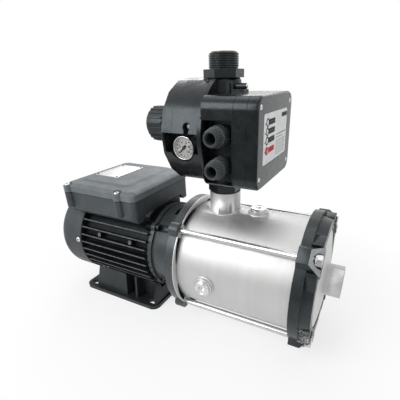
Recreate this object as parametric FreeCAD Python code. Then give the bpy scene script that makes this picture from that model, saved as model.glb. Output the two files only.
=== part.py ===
"""Multistage booster pump with a press controller screwed onto its outlet.

The model is drawn about the shaft: x runs along the shaft towards the suction
port and is 0 at the bracket face that carries the pump barrel, z points up and
is 0 on the shaft. place() then moves every piece into the part's own frame,
whose origin is the middle of the foot's slot pattern on the base plane.
"""
import FreeCAD
import Part
import math
import os

V = FreeCAD.Vector
ORIGIN = V(0, 0, 0)
X_AXIS = V(1, 0, 0)
Y_AXIS = V(0, 1, 0)
Z_AXIS = V(0, 0, 1)
NEAR = V(0, -1, 0)

# Fits and clearances in millimetres
RUNNING_GAP = 0.3
SEAT_GAP = 0.1
BORE_FIT = 0.02
PRESS_FIT = 0.01
OVER = 1.0

# Pump barrel
BARREL_R = 75.0
CAN_WALL = 1.5
BARREL_END = 160.0
DOME_CORNER_R = 14.0
DOME_RISE = 3.0
STUB_R = 20.5
STUB_SUNK = 10.0
SUCTION_STUB = 41.0
SUCTION_STUB_END = BARREL_END + SUCTION_STUB
OUTLET_X = 38.0
OUTLET_STUB = 26.0
OUTLET_STUB_TOP = BARREL_R + OUTLET_STUB
PORT_BORE_R = 16.75
PLUG_BOSS_R = 14.0
PLUG_BOSS_HEIGHT = 2.5
PLUG_BOSS_SUNK = 4.0
PLUG_BOSS_TOP = BARREL_R + PLUG_BOSS_HEIGHT
PLUG_RING = 2.0
PLUG_RING_R = 0.95
PLUG_R = 10.5
PLUG_HEAD = 3.5
PLUG_SHANK_R = 8.2
PLUG_SHANK_SUNK = 6.0
PLUG_SOCKET_AF = 8.0
PLUG_SOCKET_DEPTH = 3.0
FILL_PLUG_X = 86.0
DRAIN_PLUG_X = 42.0
DRAIN_PLUG_ANGLE = -4.0

# Tie bolts and front clamp flange
ROD_R = 4.0
ROD_GAP = 1.5
ROD_CIRCLE_R = BARREL_R + ROD_GAP + ROD_R
ROD_ANGLE = 45.0
ROD_COUNT = 4
ROD_CLEARANCE = 0.4
ROD_THREAD_FIT = 0.05
FLANGE_START = 154.0
FLANGE_RIM = 11.0
FLANGE_RIM_R = BARREL_R + FLANGE_RIM
FLANGE_RIM_WIDTH = 12.0
FLANGE_END = 178.0
COLLAR_WALL = 4.0
COLLAR_R = BARREL_R + COLLAR_WALL
COLLAR_TAPER = 2.0
CORNER_GRIP = 4.0
COLLAR_BORE_R = BARREL_R - DOME_CORNER_R + CORNER_GRIP
LUG_R = 11.5
LUG_PROUD = 2.0
LUG_HALF_WIDTH = 16.7
LUG_TIP_HALF_WIDTH = 8.6
LUG_POCKET_DEPTH = 5.0
LUG_SLOPE = 6.0
LUG_POCKET_HALF_WIDTH = 12.1
LUG_POCKET_HALF_HEIGHT = 9.8
BOLT_HEAD_AF = 13.0
BOLT_HEAD_HEIGHT = 5.3
WASHER_R = 8.0
WASHER_HEIGHT = 1.6
WASHER_ROOM = 0.8
WASHER_SEAT = FLANGE_END - LUG_POCKET_DEPTH

# Casing cover and shaft seal
COVER_LIP = 3.0
COVER_LIP_STEP = 1.0
COVER_LIP_R = BARREL_R + COVER_LIP_STEP
COVER_PLUG = 8.0
COVER_GROOVE_START = 2.4
COVER_GROOVE_END = 5.8
COVER_GROOVE_DEPTH = 3.0
COVER_RING_R = 1.4
COVER_HUB_END = 5.0
COVER_HUB_R = 26.0
COVER_DISH_R = 30.0
COVER_HOLE_R = 12.0
PUMP_SHAFT_R = 7.0
SEAL_SEAT_R = 13.0
SEAL_SEAT_START = -1.0
SEAL_SEAT_END = 6.0
SEAL_SEAT_BORE = 1.0
SEAL_FACE_GAP = 0.2
SEAL_FACE_R = 11.5
SEAL_FACE = 2.8
SEAL_HEAD_R = 14.0
SEAL_HEAD = 11.0
SEAL_COLLAR_R = 12.0
SEAL_COLLAR = 5.5
SEAL_END = SEAL_SEAT_END + SEAL_FACE_GAP + SEAL_FACE + SEAL_HEAD + SEAL_COLLAR

# Hydraulic stages
STAGE_COUNT = 4
STAGE_PITCH = 22.0
STAGE_START = 58.0
CAN_PASSAGE = 7.5
CHAMBER_R = BARREL_R - CAN_WALL - CAN_PASSAGE
SHEET = 1.2
IMPELLER_PASSAGE = 11.0
IMPELLER_R = CHAMBER_R - IMPELLER_PASSAGE
IMPELLER_OFFSET = 7.0
IMPELLER_HUB = 12.0
BLADE_WIDTH = 6.0
BLADE_COUNT = 6
BLADE_SWEEP_ANGLE = 95.0
BLADE_THICKNESS = 1.4
BLADE_ROOT_INSET = 4.0
BLADE_TIP_INSET = 0.4
EYE_R = 20.0
EYE_SKIRT = 0.5
HUB_R = 11.0
VANE_DEPTH = 5.0
VANE_COUNT = 7
VANE_SWEEP_ANGLE = 60.0
VANE_INSET = 6.0
INLET_RING_STEP = 4.0
SPACER_FRAME = 8.0
SPACER_WINDOW_HALF = 12.0
SPACER_WINDOW_DEPTH = 14.0
SPACER_WINDOW_COUNT = 6
SHAFT_NUT_AF = 19.0
SHAFT_NUT = 8.0
SHAFT_TIP = 2.0

# Motor
MOTOR_FRONT = -57.0
MOTOR_REAR = -184.0
HOUSING_R = 60.5
HOUSING_WALL = 5.5
HOUSING_BORE_R = HOUSING_R - HOUSING_WALL
FIN_HEIGHT = 9.5
FIN_TIP_R = HOUSING_R + FIN_HEIGHT
FIN_SUNK = 1.0
FIN_ROOT_WIDTH = 2.8
FIN_TIP_WIDTH = 1.8
FIN_STEP_ANGLE = 10.0
FIN_END_ANGLE = 35.0
FIN_BOSS_XS = (-145.0, -85.0)
FIN_BOSS_ANGLE = 20.0
FIN_BOSS_R = 3.2
PAD_INSET = 8.0
PAD_RISE = 3.5
PAD_TOP = HOUSING_R + PAD_RISE
PAD_ROOT = 30.0
FOOT_PAD_DROP = 5.5
FOOT_PAD_BOTTOM = -HOUSING_R - FOOT_PAD_DROP
FOOT_PAD_ROOT = -40.0
FOOT_PAD_HALF_WIDTH = 30.0
SCREW_R = 3.0
SCREW_CIRCLE_STEP = 1.5
SCREW_CIRCLE_R = HOUSING_R + SCREW_CIRCLE_STEP
SCREW_CORNER_ANGLE = 47.0
SCREW_GRIP = 12.0
SCREW_DRILLED = 14.0
SCREW_HEAD_R = 4.2
SCREW_HEAD = 5.0
SCREW_SOCKET_AF = 4.0
SCREW_SOCKET_DEPTH = 3.0
EAR_R = 7.5
EAR_LENGTH = 9.0
STATOR_START = -150.0
STATOR_END = -90.0
STATOR_DEPTH = 25.0
AIR_GAP_R = HOUSING_BORE_R - STATOR_DEPTH
AIR_GAP = 0.4
WINDING_FROM = 4.0
WINDING_TO = 20.0
WINDING_STRAIGHT = 9.0
WINDING_REACH = 15.0
END_RING = 6.0
END_RING_STEP = 3.0
END_RING_BORE = 5.0
ROTOR_SHAFT_R = 10.0
BEARING_BORE_R = 7.5
BEARING_R = 17.5
BEARING_WIDTH = 11.0
BEARING_SHOULDER = 3.0
BALL_R = 3.0
BALL_CIRCLE_R = 12.5
BALL_COUNT = 7
BALL_PLAY = 0.06
TRACK_PLAY = 0.1
TRACK_DEPTH = 0.9
FRONT_BEARING_X = -44.0
REAR_BEARING_X = -195.0
SHIELD_INSET = 0.7
SHIELD_R = FIN_TIP_R - SHIELD_INSET
SHIELD_RIM = 8.0
SHIELD_WALL = 3.0
SHIELD_STEP = 6.0
SHIELD_DISH = 12.0
SHIELD_SPIGOT = 6.0
SHIELD_SPIGOT_WALL = 3.0
SHIELD_HUB_OUTER_R = 24.0
SHIELD_HUB_ROOT_R = 30.0
SHIELD_SHAFT_ROOM = 1.5
FAN_COVER_STEP = 1.0
FAN_COVER_R = FIN_TIP_R + FAN_COVER_STEP
FAN_COVER_END = -235.0
FAN_COVER_CORNER = 17.0
COVER_SHEET = 1.5
COVER_SCREW_X = -188.5
COVER_SCREW_R = 2.0
COVER_SCREW_HEAD_R = 4.2
COVER_SCREW_HEAD = 2.5
COVER_SCREW_BITE = 6.5
COVER_SCREW_DEPTH = FAN_COVER_R - COVER_SCREW_BITE
COVER_SCREW_LIFT_ANGLE = 7.0
COVER_SCREW_DROP_ANGLE = 65.0
GRILLE_COUNT = 24
GRILLE_INNER_R = 18.0
GRILLE_HALF_WIDTH = 2.2
GRILLE_INSET = 2.0
FAN_ROOM = 17.0
FAN_R = FAN_COVER_R - FAN_ROOM
FAN_START = -227.0
FAN_END = -208.0
FAN_HUB_R = 13.0
FAN_DISC_R = 40.0
FAN_DISC = 2.0
FAN_BLADE_HALF = 1.0
FAN_COUNT = 7
FAN_SHAFT_R = 6.0
FAN_SHAFT_END = -228.0

# Bracket between motor and barrel
BRACKET_FLANGE = 8.0
BRACKET_FLANGE_R = BARREL_R + BRACKET_FLANGE
BRACKET_FLANGE_WIDTH = 13.0
BRACKET_LUG_R = 10.0
BRACKET_BODY_STEP = 0.5
BRACKET_BODY_R = HOUSING_R + BRACKET_BODY_STEP
BRACKET_FLARE = 4.0
BRACKET_WALL = 5.0
BRACKET_FOOT = 6.0
BRACKET_FOOT_STEP = 3.0
BRACKET_WEB = 8.0
BRACKET_SEAT_WALL = 7.0
BRACKET_CONE_WALL = 9.0
SCREW_RELIEF_R = 5.5
WINDOW_LENGTH = 22.0
WINDOW_HALF_WIDTH = 20.0
WINDOW_ROOT = 30.0
BOLT_END_GAP = 1.5
BOLT_HOLE_END = 1.2

# Foot
FLOOR_CLEARANCE = 6.0
SHAFT_HEIGHT = FLANGE_RIM_R + FLOOR_CLEARANCE
FOOT_START = -206.0
FOOT_END = -54.0
FOOT_MIDDLE = (FOOT_START + FOOT_END) / 2
FOOT_TO_FACE = -FOOT_MIDDLE
FOOT_HALF_WIDTH = 64.0
FOOT_PLATE = 6.0
FOOT_CORNER_R = 12.0
FOOT_HOLE_X = 124.0
FOOT_HOLE_Y = 104.0
FOOT_SLOT_WIDTH = 9.0
FOOT_SLOT_LENGTH = 15.0
PEDESTAL_LOW = (-187.0, -56.5)
PEDESTAL_HIGH = (-177.0, -62.0)
PEDESTAL_LOW_HALF = 57.0
PEDESTAL_HIGH_HALF = 52.5
PEDESTAL_TOP = -46.0
PEDESTAL_CORNER_R = 4.0
SADDLE_GAP = 0.6
PAD_SIDE_GAP = 8.0
SIDE_POCKETS = ((-117.0, -99.0), (-95.5, -61.5))
SIDE_POCKET_OUTER = 60.0
SIDE_POCKET_INNER = 39.0
FLOOR_POCKET_STARTS = (-175.0, -137.0, -99.0)
FLOOR_POCKET = 35.0
FLOOR_POCKET_HALF = 34.0
FOOT_DECK = 5.0
FOOT_SCREW_XS = (-160.0, -84.0)
FOOT_SCREW_HEAD_R = 4.5
FOOT_SCREW_HEAD = 4.0
FOOT_SCREW_GRIP = 8.0
FOOT_SCREW_DRILLED = 9.0

# Terminal box
BOX_START = -196.0
BOX_END = -66.0
BOX_HALF_WIDTH = 67.0
BOX_WALL = 2.5
BOX_DEPTH = 23.5
BOX_SPLIT = PAD_TOP + BOX_DEPTH
BOX_SKIRT = 9.0
BOX_SKIRT_BOTTOM = PAD_TOP - BOX_SKIRT
BOX_SKIRT_WIDTH = 16.0
BOX_SKIRT_SLOPE = 6.0
PAD_SIDE = 27.0
PAD_HALF_WIDTH = BOX_HALF_WIDTH - PAD_SIDE
BOX_GASKET = 1.0
BOX_GASKET_INSET = 0.4
BOX_FRAME_X = 6.0
BOX_FRAME_Y = 8.0
BOX_CORNER_R = 8.0
BOX_INNER_CORNER_R = 6.0
BOX_COLUMN_XS = (-190.0, -93.0)
BOX_COLUMN_R = 6.0
BOX_COLUMN_TAIL = 22.5
BOX_RELIEF = 1.0
LID_SCREW_R = 1.9
LID_SCREW_HEAD_R = 3.9
LID_SCREW_HEAD = 2.4
LID_SCREW_GRIP = 10.0
LID_SCREW_DRILLED = 12.0
LID_OVERHANG = 1.0
LID_HEIGHT = 13.5
LID_BEVEL_HEIGHT = 4.0
LID_BEVEL = 5.0
LID_WALL = 2.5
LID_NOTCH = 0.8
LID_SEAT_DROP = 3.0
BOX_TOP = BOX_SPLIT + LID_HEIGHT
SCREW_SEAT_Z = BOX_TOP - LID_SEAT_DROP
PLATEAU = 2.0
PLATEAU_REAR = 14.0
PLATEAU_FRONT = 26.0
PLATEAU_SIDE = 20.0
PLATEAU_BEVEL = 3.0
PLATEAU_CORNER_R = 4.0
ENTRY_R = 10.0
ENTRY_X = -130.0
ENTRY_RISE = 9.0
ENTRY_Z = PAD_TOP + ENTRY_RISE
ENTRY_HEX_AF = 22.0
ENTRY_HEX = 6.0
ENTRY_NUT_R = 10.5
ENTRY_NUT_END = 24.0
ENTRY_NUT_TAPER = 5.0
ENTRY_NUT_MOUTH = 3.0
ENTRY_BORE_R = 4.5
CLAMP_START = -100.0
CLAMP_END = -84.0
CLAMP_HALF = 34.0
CLAMP_BASE = 8.0
CLAMP_HEIGHT = 8.0
CLAMP_INSET = 2.0
CLAMP_FIRST = -31.0
CLAMP_PITCH = 13.0
CLAMP_WIDTH = 9.5
CLAMP_COUNT = 5
CAPACITOR_R = 14.0
CAPACITOR_Y = 14.0
CAPACITOR_START = -178.0
CAPACITOR_END = -108.0
CAPACITOR_NECK_R = 5.0
CAPACITOR_NECK = 6.0

# Controller: faceted pressure drum with its rear cover
DRUM_RISE = 76.0
DRUM_Z = OUTLET_STUB_TOP + DRUM_RISE
DRUM_R = 62.0
DRUM_SIDE_COUNT = 16
DRUM_FIRST_ANGLE = 5.0
DRUM_REAR = 1.0
DRUM_FRONT = 36.0
COVER_RIM = 14.0
COVER_REAR = DRUM_REAR - COVER_RIM
SPRING_RISE = 6.0
SPRING_Z = DRUM_Z + SPRING_RISE
DIAPHRAGM = 2.0
DIAPHRAGM_R = 43.0
CHAMBER_MOUTH_R = 38.0
CHAMBER_FLOOR_R = 30.0
CHAMBER_DEPTH = 6.0
SENSE_BORE_R = 3.0
GAUGE_BORE_R = 1.5
COVER_POCKET = 9.0
COVER_POCKET_TAPER = 4.0
COVER_POCKET_STEP = 2.0
COVER_THROAT = 33.0
COVER_THROAT_R = 19.0
COVER_DOME_R = 44.0
COVER_DOME_EDGE = 3.0
COVER_DOME = 21.0
COVER_DOME_TOP_R = 26.0
COVER_NECK_ROOT_R = 24.0
COVER_NECK_R = 18.0
COVER_NECK_WALL = 2.5
COVER_NECK_STEP = 1.0
REAR_SCREW_CIRCLE_R = 54.5
REAR_SCREW_COUNT = 6
REAR_SCREW_ANGLE = 22.0
REAR_SCREW_R = 2.0
REAR_SCREW_HEAD_R = 3.6
REAR_SCREW_HEAD = 2.4
REAR_SCREW_GRIP = 8.0
REAR_SCREW_DRILLED = 9.0
PLATE_R = 32.0
PLATE_THICKNESS = 2.5
PLATE_RIM = 5.0
PLATE_RIM_WALL = 1.0
SPRING_SEAT = 3.4
SPRING_GUIDE = 10.0
SPRING_R = 11.0
SPRING_WIRE_R = 1.2
SPRING_TURN_COUNT = 5
SPRING_GUIDE_ROOT = 2.5
SPRING_GUIDE_TIP = 3.5
SPRING_SIDE = 2.0
SEAT_X = -54.0
SEAT_THICKNESS = 3.0
SEAT_SIDE = 3.0
SEAT_GUIDE = 2.5
CAP_R = 22.0
CAP_START = -69.5
CAP_END = -40.0
CAP_OVERLAP = 8.0
CAP_MOUTH_GAP = 1.2
CAP_CHAMFER = 3.0
CAP_FACE_STEP = 4.0
CAP_WALL = 4.0
CAP_RIB_COUNT = 20
CAP_RIB = 1.2
CAP_RIB_SUNK = 1.0
CAP_RIB_HALF = 1.1
ADJUSTER_R = 3.0
ADJUSTER_HEAD_R = 5.0
ADJUSTER_HEAD = 0.5

# Controller: rim, gauge recess and gauge
RING_R = 65.0
RING_END = 41.0
RECESS_Y = -46.0
RECESS_FRONT_WALL = 2.0
RECESS_REAR_WALL = 3.0
RECESS_RISE = 5.4
RECESS_DROP = 17.0
GAUGE_X = 13.0
GAUGE_DROP = 11.3
GAUGE_Z = DRUM_Z - GAUGE_DROP
GAUGE_R = 14.0
GAUGE_ROOM = 2.0
GAUGE_FRONT_Y = -58.0
GAUGE_BODY_STEP = 1.0
GAUGE_BEZEL = 4.0
GAUGE_BEZEL_WALL = 2.0
DIAL_DEPTH = 8.5
GLASS_SET = 0.4
GLASS = 1.0
GLASS_PLAY = 0.05
PIVOT_R = 0.8
PIVOT_LENGTH = 1.4
POINTER_BORE = 0.85
POINTER_HUB_R = 2.0
POINTER_HUB = 0.9
POINTER_BLADE = 0.6
POINTER_LENGTH = 9.5
POINTER_TAIL = 3.5
POINTER_TAIL_HALF = 1.3
POINTER_TIP_HALF = 0.3
POINTER_REST_ANGLE = -45.0
GAUGE_SCREW_X = 20.4
GAUGE_SCREW_RISE = 12.3
GAUGE_SCREW_WELL_R = 4.8
GAUGE_SCREW_SLOT_HALF = 3.0
GAUGE_SCREW_SEAT_Y = -53.0
GAUGE_SCREW_HEAD_R = 2.9
GAUGE_SCREW_HEAD = 2.2
GAUGE_SCREW_R = 1.5
GAUGE_SCREW_GRIP = 5.0
GAUGE_SCREW_DRILLED = 6.0

# Controller: electronics end
CASE_SPLIT = 77.0
CASE_FRONT = 92.0
LID_FRONT = 104.0
CASE_HALF_WIDTH = 61.0
CASE_DROP = 53.0
CASE_RISE = 45.0
CASE_BOTTOM = DRUM_Z - CASE_DROP
CASE_TOP = DRUM_Z + CASE_RISE
CASE_CORNER_R = 14.0
CASE_WALL = 2.5
CASE_SUNK = 1.0
CASE_LEDGE = 3.0
CASE_LEDGE_DEPTH = 9.0
CASE_POST_R = 4.2
CASE_POST_DRILLED = 8.0
FRONT_LID_CHAMFER = 2.0
FRONT_LID_EDGE = 2.5
FRONT_LID_WALL = 3.0
FRONT_LID_FACE = 2.6
FRONT_SCREW_INSET_Y = 9.0
FRONT_SCREW_RISE = 13.0
FRONT_SCREW_DROP = 11.0
FRONT_SCREW_HEAD_R = 3.4
FRONT_SCREW_HEAD = 1.9
FRONT_SCREW_SUNK = 1.6
FRONT_SCREW_ROOM = 0.2
FRONT_SCREW_GRIP = 10.0
LABEL_HALF_WIDTH = 43.0
LABEL_DROP = 28.0
LABEL_RISE = 27.0
LABEL_SUNK = 0.6
LABEL_CORNER_R = 3.0
INDICATOR_Y = -31.0
LENS_RISES = (17.0, 7.5, -2.0)
LENS_R = 2.2
LENS_FLANGE = 1.0
LENS_BACK = 1.0
LENS_FLANGE_GAP = 2.8
BUTTON_DROP = 13.0
BUTTON_Z = DRUM_Z - BUTTON_DROP
BUTTON_R = 4.0
BUTTON_BACK = 98.0
BUTTON_PROUD = 0.8
BUTTON_FLANGE = 1.2
BUTTON_FLANGE_GAP = 2.9
BOARD_X = 82.0
BOARD = 1.6
BOARD_HALF_WIDTH = 47.0
BOARD_INSET = 12.0
BOARD_CORNER_R = 4.0
BOARD_STEM_R = 1.6
BOARD_STEM_GAP = 0.8
SWITCH_HALF = 3.0
SWITCH_GAP = 1.4
RELAY = ((-12.0, 10.0), (3.0, 23.0), 9.0)
SCREW_TERMINALS = ((-40.0, -16.0), (-41.0, -19.0), 8.0)
CHOKE_R = 8.0
CHOKE_Y = 26.0
CHOKE_DROP = 19.0
CHOKE = 9.0
PANEL_Y = -44.0
PANEL_SIDE = 4.0
PANEL_ROOF = 17.0
PANEL_FRONT = 1.5
GLAND_X = 57.0
GLAND_RISES = (4.0, -31.0)
GLAND_BORE_R = 6.0
GLAND_SHANK_R = 9.0
GLAND_SHANK = 3.0
GLAND_HOLE_DEPTH = 6.0
GLAND_BASE_R = 12.6
GLAND_BASE = 9.5
GLAND_CHAMFER = 1.0
GLAND_NUT_SKIRT = 8.0
GLAND_NUT_STEP = 0.6
GLAND_NUT_R = 9.0
GLAND_MOUTH_R = 8.4
GLAND_MOUTH_Y = -74.0
WIRE_HALF_HEIGHT = 4.0
WIRE_LEAD = 3.0
CLIP_X = (54.0, 70.0)
CLIP_Y = (-16.0, -2.0)
CLIP_HEIGHT = 4.0
CLIP_BOSS_R = 3.4
CLIP_BOSS_RISE = 7.0
CLIP_SCREW_R = 1.2
CLIP_SCREW_HEAD_R = 2.3
CLIP_SCREW_HEAD = 1.6
CLIP_SCREW_GRIP = 6.0
CLIP_SCREW_DRILLED = 7.0

# Controller: ports and flow valve
PORT_THREAD_R = 16.6
THREAD_LEAD = 1.0
THREAD_INSERTED = 17.0
THREAD_BOTTOM = OUTLET_STUB_TOP - THREAD_INSERTED
LOWER_HEX_GAP = 1.0
LOWER_HEX_BOTTOM = OUTLET_STUB_TOP + LOWER_HEX_GAP
LOWER_HEX = 10.0
LOWER_HEX_TOP = LOWER_HEX_BOTTOM + LOWER_HEX
LOWER_HEX_AF = 38.0
LOWER_NECK_R = 15.0
LOWER_NECK_TOP_R = 19.0
PORT_SUNK = 12.0
PORT_COLLAR_R = 20.5
PORT_COLLAR_RISE = 58.0
FITTING_SEAT_Z = DRUM_Z + PORT_COLLAR_RISE
FITTING_SPIGOT_R = 15.0
FITTING_SPIGOT = 10.0
RIM_NOTCH_R = 24.5
UPPER_HEX_AF = 41.0
UPPER_HEX_CONE = 3.0
UPPER_HEX = 9.0
UPPER_HEX_BOTTOM = FITTING_SEAT_Z + UPPER_HEX_CONE
UPPER_HEX_TOP = UPPER_HEX_BOTTOM + UPPER_HEX
UPPER_HEX_CONE_R = 18.5
UPPER_THREAD = 17.5
UPPER_THREAD_LEAD = 1.5
THREAD_TOP = UPPER_HEX_TOP + UPPER_THREAD
PASSAGE_R = 12.0
LINER_WALL = 1.0
LINER_PLAY = 0.05
VALVE_SEAT_DROP = 45.0
VALVE_SEAT = DRUM_Z - VALVE_SEAT_DROP
VALVE_SEAT_R = 10.0
VALVE_SEAT_WIDTH = 4.0
VALVE_CHAMBER_R = 16.0
VALVE_GUIDE_DROP = 9.0
VALVE_GUIDE_Z = DRUM_Z - VALVE_GUIDE_DROP
VALVE_OVERLAP = 3.5
VALVE_DISC = 3.0
VALVE_CONE = 2.0
VALVE_MAGNET_R = 6.0
VALVE_MAGNET = 11.0
VALVE_STEM_ABOVE = 12.0
VALVE_LEG = 14.0
VALVE_LEG_HALF = 0.8
VALVE_LEG_COUNT = 3
STEM_R = 2.5
STEM_PLAY = 0.1
GUIDE_HUB_R = 4.5
GUIDE_HUB = 5.0
GUIDE_ARM = 4.0
GUIDE_ARM_COUNT = 3


def turned(points, base=ORIGIN, axis=X_AXIS):
    """Revolve an outline of (along, radius) points about an axis through base."""
    side = Z_AXIS if abs(axis.dot(Z_AXIS)) < 0.5 else X_AXIS
    corners = [base + axis * along + side * radius for along, radius in points]
    face = Part.Face(Part.makePolygon(corners + [corners[0]]))
    return face.revolve(base, axis, 360)


def rod(radius, start, end, base=ORIGIN, axis=X_AXIS):
    """A cylinder from start to end along an axis through base."""
    return Part.makeCylinder(radius, end - start, base + axis * start, axis)


def tube(outer, inner, start, end, base=ORIGIN, axis=X_AXIS):
    """A straight pipe from start to end along an axis through base."""
    return rod(outer, start, end, base, axis).cut(rod(inner, start, end, base, axis))


def block(x0, x1, y0, y1, z0, z1):
    """A box between two opposite corners."""
    return Part.makeBox(x1 - x0, y1 - y0, z1 - z0, V(x0, y0, z0))


def polygon_bar(points, pull):
    """A flat polygon pulled along a vector into a bar."""
    return Part.Face(Part.makePolygon(points + [points[0]])).extrude(pull)


def hexagon(flats, start, end, base=ORIGIN, axis=X_AXIS):
    """A hexagonal prism, given across its flats."""
    corner = flats / math.sqrt(3)
    side = Y_AXIS if abs(axis.dot(Y_AXIS)) < 0.5 else Z_AXIS
    other = axis.cross(side)
    points = []
    for k in range(6):
        a = math.radians(60 * k)
        points.append(base + axis * start + side * (corner * math.cos(a)) + other * (corner * math.sin(a)))
    return polygon_bar(points, axis * (end - start))


def rounded_wire(u0, u1, v0, v1, radius, to_point):
    """A rectangle with round corners; to_point turns (u, v) into a place."""
    corners = ((u1, v0, -90), (u1, v1, 0), (u0, v1, 90), (u0, v0, 180))
    edges = []
    last = None
    for u, v, start in corners:
        cu = u - math.copysign(radius, u - (u0 + u1) / 2)
        cv = v - math.copysign(radius, v - (v0 + v1) / 2)
        arc = []
        for a in (start, start + 45, start + 90):
            angle = math.radians(a)
            arc.append(to_point(cu + radius * math.cos(angle), cv + radius * math.sin(angle)))
        if last is not None:
            edges.append(Part.LineSegment(last, arc[0]).toShape())
        edges.append(Part.Arc(*arc).toShape())
        last = arc[2]
    edges.append(Part.LineSegment(last, edges[0].Vertexes[0].Point).toShape())
    return Part.Wire(edges)


def slab(x0, x1, y0, y1, z0, z1, radius):
    """An upright block whose four vertical edges are round."""
    wire = rounded_wire(x0, x1, y0, y1, radius, lambda u, v: V(u, v, z0))
    return Part.Face(wire).extrude(V(0, 0, z1 - z0))


def slab_x(x0, x1, y0, y1, z0, z1, radius):
    """A block along the shaft whose four long edges are round."""
    wire = rounded_wire(y0, y1, z0, z1, radius, lambda u, v: V(x0, u, v))
    return Part.Face(wire).extrude(V(x1 - x0, 0, 0))


def turned_copies(shape, base, axis, angles):
    """Copies of a shape turned about an axis, as a list."""
    copies = []
    for angle in angles:
        copy = shape.copy()
        copy.rotate(base, axis, angle)
        copies.append(copy)
    return copies


def around_shaft(shape, angles):
    """Copies of a shape turned about the shaft, as a list."""
    return turned_copies(shape, ORIGIN, X_AXIS, angles)


def evenly(count, first=0.0):
    """Angles of an even circular pattern."""
    return [first + 360.0 * k / count for k in range(count)]


def on_side(radius, angle, x=0.0):
    """A place at a radius, with the angle counted upwards from the near side."""
    a = math.radians(angle)
    return V(x, -radius * math.cos(a), radius * math.sin(a))


def rod_angles():
    """Where the tie bolts stand about the shaft."""
    return evenly(ROD_COUNT, ROD_ANGLE)


def fused(shapes):
    """One solid from pieces that run into each other."""
    whole = shapes[0]
    if len(shapes) > 1:
        whole = whole.fuse(shapes[1:])
    return whole.removeSplitter()


def group(shapes):
    """Several separate solids that share a node."""
    return Part.makeCompound(shapes)


def bent_profile(lines_and_arcs, base=ORIGIN, axis=X_AXIS):
    """Revolve an outline that has true arcs.

    The outline is a closed list of (along, radius) points; a point written
    with a third value "arc" is the middle of an arc between its neighbours.
    """
    side = Z_AXIS if abs(axis.dot(Z_AXIS)) < 0.5 else X_AXIS
    places = [base + axis * p[0] + side * p[1] for p in lines_and_arcs]
    count = len(places)
    edges = []
    k = 0
    while k < count:
        following = (k + 1) % count
        if len(lines_and_arcs[following]) == 3:
            after = (k + 2) % count
            edges.append(Part.Arc(places[k], places[following], places[after]).toShape())
            k += 2
        else:
            edges.append(Part.LineSegment(places[k], places[following]).toShape())
            k += 1
    return Part.Face(Part.Wire(edges)).revolve(base, axis, 360)


def corner_middle(centre_x, centre_r, radius):
    """The middle point of a quarter-round corner that faces outwards."""
    share = radius * math.sqrt(0.5)
    return (centre_x + share, centre_r + share, "arc")


# Pump barrel


def can_solid(inset):
    """The drawn can's outer form, or with an inset its inner form."""
    barrel = BARREL_R - inset
    corner = DOME_CORNER_R - inset
    centre_r = BARREL_R - DOME_CORNER_R
    end = BARREL_END + corner
    return bent_profile([
        (0.0, 0.0), (0.0, barrel), (BARREL_END, barrel),
        corner_middle(BARREL_END, centre_r, corner), (end, centre_r),
        (end + DOME_RISE, STUB_R), (end + DOME_RISE, 0.0)])


def fill_plug_place():
    """Base point and outward direction of the fill plug on top of the barrel."""
    return V(FILL_PLUG_X, 0, 0), Z_AXIS


def drain_plug_place():
    """Base point and outward direction of the drain plug low on the near side."""
    return V(DRAIN_PLUG_X, 0, 0), on_side(1.0, DRAIN_PLUG_ANGLE)


def plug_places():
    """Both plugs' base points and directions."""
    return fill_plug_place(), drain_plug_place()


def outlet_axis():
    """A point on the axis of the outlet, which runs up through the controller."""
    return V(OUTLET_X, 0, 0)


def pump_casing():
    """Stainless can with its welded suction stub, outlet stub and plug bosses."""
    stubs = [rod(STUB_R, BARREL_END, SUCTION_STUB_END),
             rod(STUB_R, BARREL_R - STUB_SUNK, OUTLET_STUB_TOP, outlet_axis(), Z_AXIS)]
    bosses = []
    cuts = [can_solid(CAN_WALL)]
    for base, out in plug_places():
        bosses.append(rod(PLUG_BOSS_R, BARREL_R - PLUG_BOSS_SUNK, PLUG_BOSS_TOP, base, out))
        cuts.append(rod(PLUG_SHANK_R + SEAT_GAP, 0, PLUG_BOSS_TOP + OVER, base, out))
    cuts.append(rod(PORT_BORE_R, BARREL_END, SUCTION_STUB_END + OVER))
    cuts.append(rod(PORT_BORE_R, 0, OUTLET_STUB_TOP + OVER, outlet_axis(), Z_AXIS))
    return can_solid(0).fuse(stubs + bosses).cut(cuts).removeSplitter()


def can_bore():
    """Radius of the can's inner wall."""
    return BARREL_R - CAN_WALL


def casing_cover():
    """Pressed plate that closes the can behind the mechanical seal."""
    rim = can_bore() - RUNNING_GAP
    groove = can_bore() - COVER_GROOVE_DEPTH
    seat = SEAL_SEAT_R + SEAT_GAP
    return turned([
        (-COVER_LIP, COVER_HOLE_R), (-COVER_LIP, COVER_LIP_R), (-SEAT_GAP, COVER_LIP_R),
        (-SEAT_GAP, rim), (COVER_GROOVE_START, rim), (COVER_GROOVE_START, groove),
        (COVER_GROOVE_END, groove), (COVER_GROOVE_END, rim), (COVER_PLUG, rim),
        (COVER_PLUG, COVER_DISH_R), (COVER_HUB_END, COVER_HUB_R), (COVER_HUB_END, seat),
        (SEAL_SEAT_START, seat), (SEAL_SEAT_START, COVER_HOLE_R)])


def seal_seat():
    """Fixed ceramic ring of the mechanical seal."""
    return tube(SEAL_SEAT_R, PUMP_SHAFT_R + SEAL_SEAT_BORE, SEAL_SEAT_START, SEAL_SEAT_END)


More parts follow.
